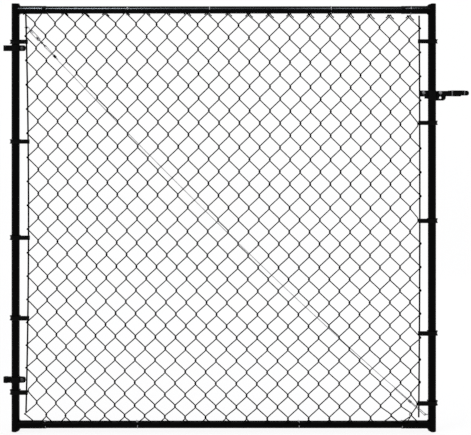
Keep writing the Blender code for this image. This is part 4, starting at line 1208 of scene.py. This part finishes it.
def build_lugs():
    """The lug on the tension bar for the turnbuckle's hook, and the lug on the latch stile."""
    upper, lower = lug_holes()
    bar_hole = (BAR_RADIUS + TOUCH_GAP) / math.cos(math.pi / 16)
    outline = arc((upper[0], 0), LUG_ROUND, 0, 180, 20)
    outline += arc((upper[0], BAR_Y), bar_hole + LUG_RING, 180, 360, 20)
    holes = ((upper, LUG_HOLE_RADIUS), (vec(upper[0], BAR_Y, upper[2]), bar_hole))
    build_lug("upper_cable_lug", outline, holes, FITTING)
    fit = STILE_RADIUS + TOUCH_GAP
    turn = rise_angle(LUG_ROUND, fit)
    outline = arc((0, 0), fit, turn, -turn, 12)
    outline += arc((STILE_RADIUS + LUG_REACH, 0), LUG_ROUND, -90, 90, 24)
    outline = [(LATCH_STILE_X - x, y) for x, y in outline]
    build_lug("lower_cable_lug", outline, ((lower, LUG_HOLE_RADIUS),), CABLE_ZINC)


def build_lug(node, outline, holes, finish):
    """One level lug with its holes."""
    height = holes[0][0][2]
    shape = prism(outline, height - LUG_PLATE / 2, height + LUG_PLATE / 2, "Z")
    holes = [
        turned(centre, (0, 0, 1), ((radius, -LUG_CUT), (radius, LUG_CUT)), 24)
        for centre, radius in holes
    ]
    show(node + "_plate", shape, finish, node, holes=holes, soft=PLATE_SOFTNESS)


def build_turnbuckle(start, along):
    """The body of the turnbuckle, the nuts on its lower rod and its two rods."""
    across = np.cross(vec(0, 1, 0), along)
    rings = []
    outside = (0, 0, TURNBUCKLE_ROUND)
    inside = (TURNBUCKLE_END, TURNBUCKLE_RAIL, TURNBUCKLE_SLOT_ROUND)
    for back, inset, corner in (outside, inside):
        ring = []
        for end, side in ((0, -1), (1, -1), (1, 1), (0, 1)):
            distance = back + end * (TURNBUCKLE_LENGTH - 2 * back)
            point = start + along * distance + across * side * (TURNBUCKLE_WIDTH / 2 - inset)
            ring.append((point[0], point[2]))
        rings.append(fillet(ring, corner))
    forged = prism(rings[0], -TURNBUCKLE_DEPTH / 2, TURNBUCKLE_DEPTH / 2, "Y")
    slot = prism(rings[1], -TURNBUCKLE_DEPTH, TURNBUCKLE_DEPTH, "Y")
    show(
        "turnbuckle_body_forged", forged, BODY_ZINC, "turnbuckle_body",
        holes=[slot], soft=TURNBUCKLE_SOFTNESS,
    )
    in_body = TURNBUCKLE_LENGTH - TURNBUCKLE_END - ROD_NUT[-1][1]
    at_neck = ROD_EYE_PLACE - TURNBUCKLE_PLACE - ROD_EYE_RADIUS - NECK_NUT_BACK
    nuts = [turned(start + along * place, along, ROD_NUT, 6) for place in (in_body, at_neck)]
    # The nuts are zinc plated but drawn black, as painted shade.
    show("turnbuckle_nuts", joined(nuts), ZINC_IN_PAINTED_SHADE, sharp=35)
    rim = cable_ends()[0]
    reach = ROD_RADIUS + HOOK_CLEARANCE
    path = loop_points(rim, along, reach, 70, 305, 16)
    path += [rim + along * reach * 2, start + along * (TURNBUCKLE_END + ROD_SHOWS)]
    show("turnbuckle_hook", sweep(path, ROD_RADIUS, 14, True), HOOK_ZINC, "turnbuckle_upper_rod")
    finish = start + along * TURNBUCKLE_LENGTH
    centre = start + along * (ROD_EYE_PLACE - TURNBUCKLE_PLACE)
    path = [finish - along * (TURNBUCKLE_END + ROD_SHOWS), centre - along * ROD_EYE_RADIUS * 1.9]
    path += loop_points(centre, along, ROD_EYE_RADIUS, 150, -150, 22, across)
    # The eye rod takes the black fittings' coat: painted shade that stands in for its shadowed
    # side.
    show("turnbuckle_eye", sweep(path, ROD_RADIUS, 14, True), FITTING, "turnbuckle_lower_rod")


def strand_loop(centre, away, sleeve_distance, tail):
    """The cable from its line at a sleeve, round a loop, and back beside itself."""
    along = unit(away)
    apart = np.cross(vec(0, 1, 0), along) * (CABLE_RADIUS + TOUCH_GAP / 2)
    far = centre + along * (sleeve_distance + tail)
    near = centre + along * (sleeve_distance - CLAMP_SLEEVE_LENGTH)
    loop = loop_points(centre, along, CABLE_LOOP_RADIUS, -50, -310, 16)
    return [far - apart, near - apart, *loop, near + apart, far + apart]


def resampled(path, spacing):
    """The same line with evenly spaced points."""
    path = np.asarray(path, float)
    lengths = np.concatenate([[0], np.cumsum(np.linalg.norm(np.diff(path, axis=0), axis=1))])
    places = np.linspace(0, lengths[-1], max(int(lengths[-1] / spacing), 2))
    return np.stack([np.interp(places, lengths, path[:, axis]) for axis in range(3)], 1)


def stranded(path):
    """Six strands laid round the middle line of a cable, and a core."""
    line = resampled(path, STRAND_SPACING)
    out = vec(0, 1, 0)
    across = np.cross(out, directions(line))
    turns = 2 * math.pi * np.arange(len(line)) * STRAND_SPACING / STRAND_LAY
    shapes = [sweep(line, CABLE_RADIUS * 0.55, 5)]
    for strand in range(6):
        angle = turns + strand * math.pi / 3
        offset = across * np.cos(angle)[:, None] + out * np.sin(angle)[:, None]
        shapes.append(sweep(line + offset * CABLE_RADIUS * 0.64, CABLE_RADIUS * 0.36, 5))
    return shapes


def build_truss_cable(eye):
    """The cable with a loop and a pressed clamp at each end."""
    upper, lower = cable_ends()
    length = np.linalg.norm(lower - upper)
    half = CLAMP_SLEEVE_LENGTH / 2
    first_end = UPPER_SLEEVE_PLACE + half + UPPER_TAIL
    last_end = length - LOWER_SLEEVE_PLACE - half - LOWER_TAIL
    first_way, last_way = cable_point(first_end) - eye, cable_point(last_end) - lower
    upper_sleeve = UPPER_SLEEVE_PLACE - np.linalg.norm(eye - upper)
    path = strand_loop(eye, first_way, upper_sleeve, UPPER_TAIL + half)
    for step in range(1, CABLE_SPANS):
        path.append(cable_point(first_end + (last_end - first_end) * step / CABLE_SPANS))
    path += strand_loop(lower, last_way, LOWER_SLEEVE_PLACE, LOWER_TAIL + half)[::-1]
    show("truss_cable_strands", joined(stranded(path)), CABLE_ZINC, "truss_cable")
    # The upper cable clamp is zinc plated but takes the black coat, as painted shade.
    for name, centre, way, distance, finish in (
        ("upper_cable_clamp", eye, first_way, upper_sleeve, ZINC_IN_PAINTED_SHADE),
        ("lower_cable_clamp", lower, last_way, LOWER_SLEEVE_PLACE, CLAMP_ZINC),
    ):
        show(name, pressed_sleeve(centre + unit(way) * distance, unit(way)), finish)


def pressed_sleeve(centre, along):
    """The clamp round two strands, waisted where it was pressed."""
    wide = np.cross(vec(0, 1, 0), along) * (2 * CABLE_RADIUS + CLAMP_SLEEVE_WALL)
    ring = circle(wide, vec(0, CABLE_RADIUS + CLAMP_SLEEVE_WALL, 0), 20)
    rows = [(along * place * CLAMP_SLEEVE_LENGTH, share) for place, share in SLEEVE_WAIST]
    points = [centre + place + ring * share for place, share in rows]
    return np.concatenate(points), ring_faces(len(rows), 20)


def build_cable():
    """Turnbuckle and truss cable."""
    start = cable_point(TURNBUCKLE_PLACE)
    along = unit(cable_point(TURNBUCKLE_PLACE + TURNBUCKLE_LENGTH) - start)
    build_turnbuckle(start, along)
    build_truss_cable(start + along * (ROD_EYE_PLACE - TURNBUCKLE_PLACE + ROD_EYE_RADIUS))


def tie(x, height, up):
    """A tie wire round a rail, with both ends hooked to the fabric. up is -1 at the bottom rail."""
    reach = RAIL_RADIUS + TIE_RADIUS + SKIN_GAP
    lean = chance.uniform(0.002, 0.004)
    path = []
    for step in range(25):
        angle = math.radians(225 + 300 * step / 24)
        z = reach * math.sin(angle) * up
        path.append((x + lean * step / 24, reach * math.cos(angle), height + z))
    first = path[0][2]
    start = [(x + over, BAR_Y + back, first - up * down) for over, back, down in TIE_START]
    end = [(x + lean + over, BAR_Y + back, height - up * down) for over, back, down in TIE_END]
    return sweep(start + path + end, TIE_RADIUS, 8, True)


def build_ties():
    """The tie wires that hold the fabric to the rails."""
    shapes = [tie(x, TOP_RAIL_Z, 1) for x in TOP_TIES]
    shapes += [tie(x, BOTTOM_RAIL_Z, -1) for x in BOTTOM_TIES]
    show("tie_wires", joined(shapes), TIE_ZINC)


def build_loose_end():
    """Two ends near the latch corner that sprang loose: one hangs in a bow, one is curled up."""
    near, far = crossing(LAST_COLUMN - 1, 0), crossing(LAST_COLUMN - 3, 0)
    on_rail = (near[0], BOTTOM_RAIL_Z + RAIL_RADIUS + BOW_OVER_RAIL)
    bow = []
    for (x, z), steps in ((near, BOW_START), (on_rail, BOW_MIDDLE), (far, BOW_END)):
        bow += [(x + over, BOTTOM_RAIL_FRONT + back, z + up) for over, back, up in steps]
    middle = vec(near[0], BOTTOM_RAIL_FRONT, near[1]) + vec(*CURL_MIDDLE)
    turns = np.linspace(*CURL_TURNS, 12)
    curl = [middle + CURL_RADIUS * vec(math.cos(turn), 0, math.sin(turn)) for turn in turns]
    shapes = [sweep(bow, WOVEN_RADIUS * 0.9, 8, True), sweep(curl, WOVEN_RADIUS * 0.55, 8, True)]
    show("loose_wire_ends", joined(shapes), WIRE)


def white_to_eye(nodes, colour):
    """Makes a floor white to the eye, with a faint shadow on it, and pale to other light."""
    seen = nodes.seen_directly()
    faint = nodes.ramp(nodes.noise(3), (0.3, FLOOR_FAINT), (0.7, FLOOR_FAINT))
    nodes.colour(nodes.mix(seen, colour, faint))
    distance = nodes.add("ShaderNodeVectorMath", operation="LENGTH")
    nodes.link(nodes.place, distance.inputs[0])
    near, far, low, high = FLOOR_GLOW
    lift = nodes.spread(distance.outputs["Value"], low, high, near, far)
    glow = nodes.add("ShaderNodeEmission")
    nodes.link(nodes.compute("MULTIPLY", lift, seen), glow.inputs["Strength"])
    both = nodes.add("ShaderNodeAddShader")
    nodes.link(nodes.shader.outputs[0], both.inputs[0])
    nodes.link(glow.outputs[0], both.inputs[1])
    nodes.link(both.outputs[0], nodes.tree.nodes["Material Output"].inputs["Surface"])


def build_stage():
    """The pale floor, the studio light round the leaf, and the camera."""
    material = bpy.data.materials.new("studio_floor")
    nodes = Nodes(material)
    white_to_eye(nodes, nodes.ramp(nodes.noise(3), (0.3, 0.80), (0.7, 0.83), tint=1.0))
    nodes.shader.inputs["Roughness"].default_value = 0.9
    nodes.shader.inputs["Specular IOR Level"].default_value = 0.1
    level = LEAF_BOTTOM - TOUCH_GAP - CAP_THICKNESS - FLOOR_GAP
    points = [(x * FLOOR_REACH, y * FLOOR_REACH, level) for x, y in FLOOR_CORNERS]
    floor = new_object("studio_floor", points, [(0, 1, 2, 3)], material, smooth=False)
    build_world()
    for lamp in LAMPS:
        add_light(*lamp)
    add_strips()
    data = bpy.data.cameras.new("camera")
    data.lens = CAMERA_LENS
    data.sensor_width = 36.0
    data.shift_y = CAMERA_SHIFT_Y
    camera = put_in("camera", data)
    camera.location = CAMERA_PLACE
    camera.rotation_euler = (math.radians(90), 0, 0)
    bpy.context.scene.camera = camera


def build_world():
    """White surroundings for the eye and for gloss, and a soft even light."""
    world = bpy.data.worlds.new("studio")
    bpy.context.scene.world = world
    nodes = Nodes(world)
    back = nodes.tree.nodes["Background"]
    back.inputs["Color"].default_value = (1, 1, 1, 1)
    strength = nodes.spread(nodes.seen_directly(), WORLD_LIGHT, 1, 0, 1)
    nodes.link(strength, back.inputs["Strength"])


def add_light(name, place, aim, size, power):
    """A soft square lamp that faces a point."""
    data = bpy.data.lights.new(name, "AREA")
    data.size = size
    data.energy = power
    lamp = put_in(name, data)
    lamp.location = place
    lamp.rotation_euler = (Vector(aim) - Vector(place)).to_track_quat("-Z", "Y").to_euler()
    return lamp


def add_strips():
    """Long narrow lamps high in front that only make the broken highlight on the top rail."""
    lit = bpy.data.collections.new("lit_by_strips")
    for shown in bpy.context.scene.objects:
        if shown.name.startswith(("top_rail", "top_sleeve")):
            lit.objects.link(shown)
    for number, (x, length, power) in enumerate(STRIPS, 1):
        place, aim = (x, STRIP_Y, STRIP_Z), (x, 0, TOP_RAIL_Z)
        lamp = add_light(f"strip_{number}", place, aim, length, power)
        lamp.data.shape = "RECTANGLE"
        lamp.data.size_y = STRIP_WIDTH
        lamp.data.color = STRIP_COLOUR
        lamp.visible_diffuse = False
        lamp.visible_camera = False
        lamp.light_linking.receiver_collection = lit


build_stiles()
build_rails()
build_bars()
build_bands()
build_hinges()
build_fabric()
build_clamp()
build_fork()
build_latch_bolts()
build_lugs()
build_cable()
build_ties()
build_loose_end()
build_stage()
bpy.context.scene.view_settings.view_transform = "Standard"

bpy.context.view_layer.update()
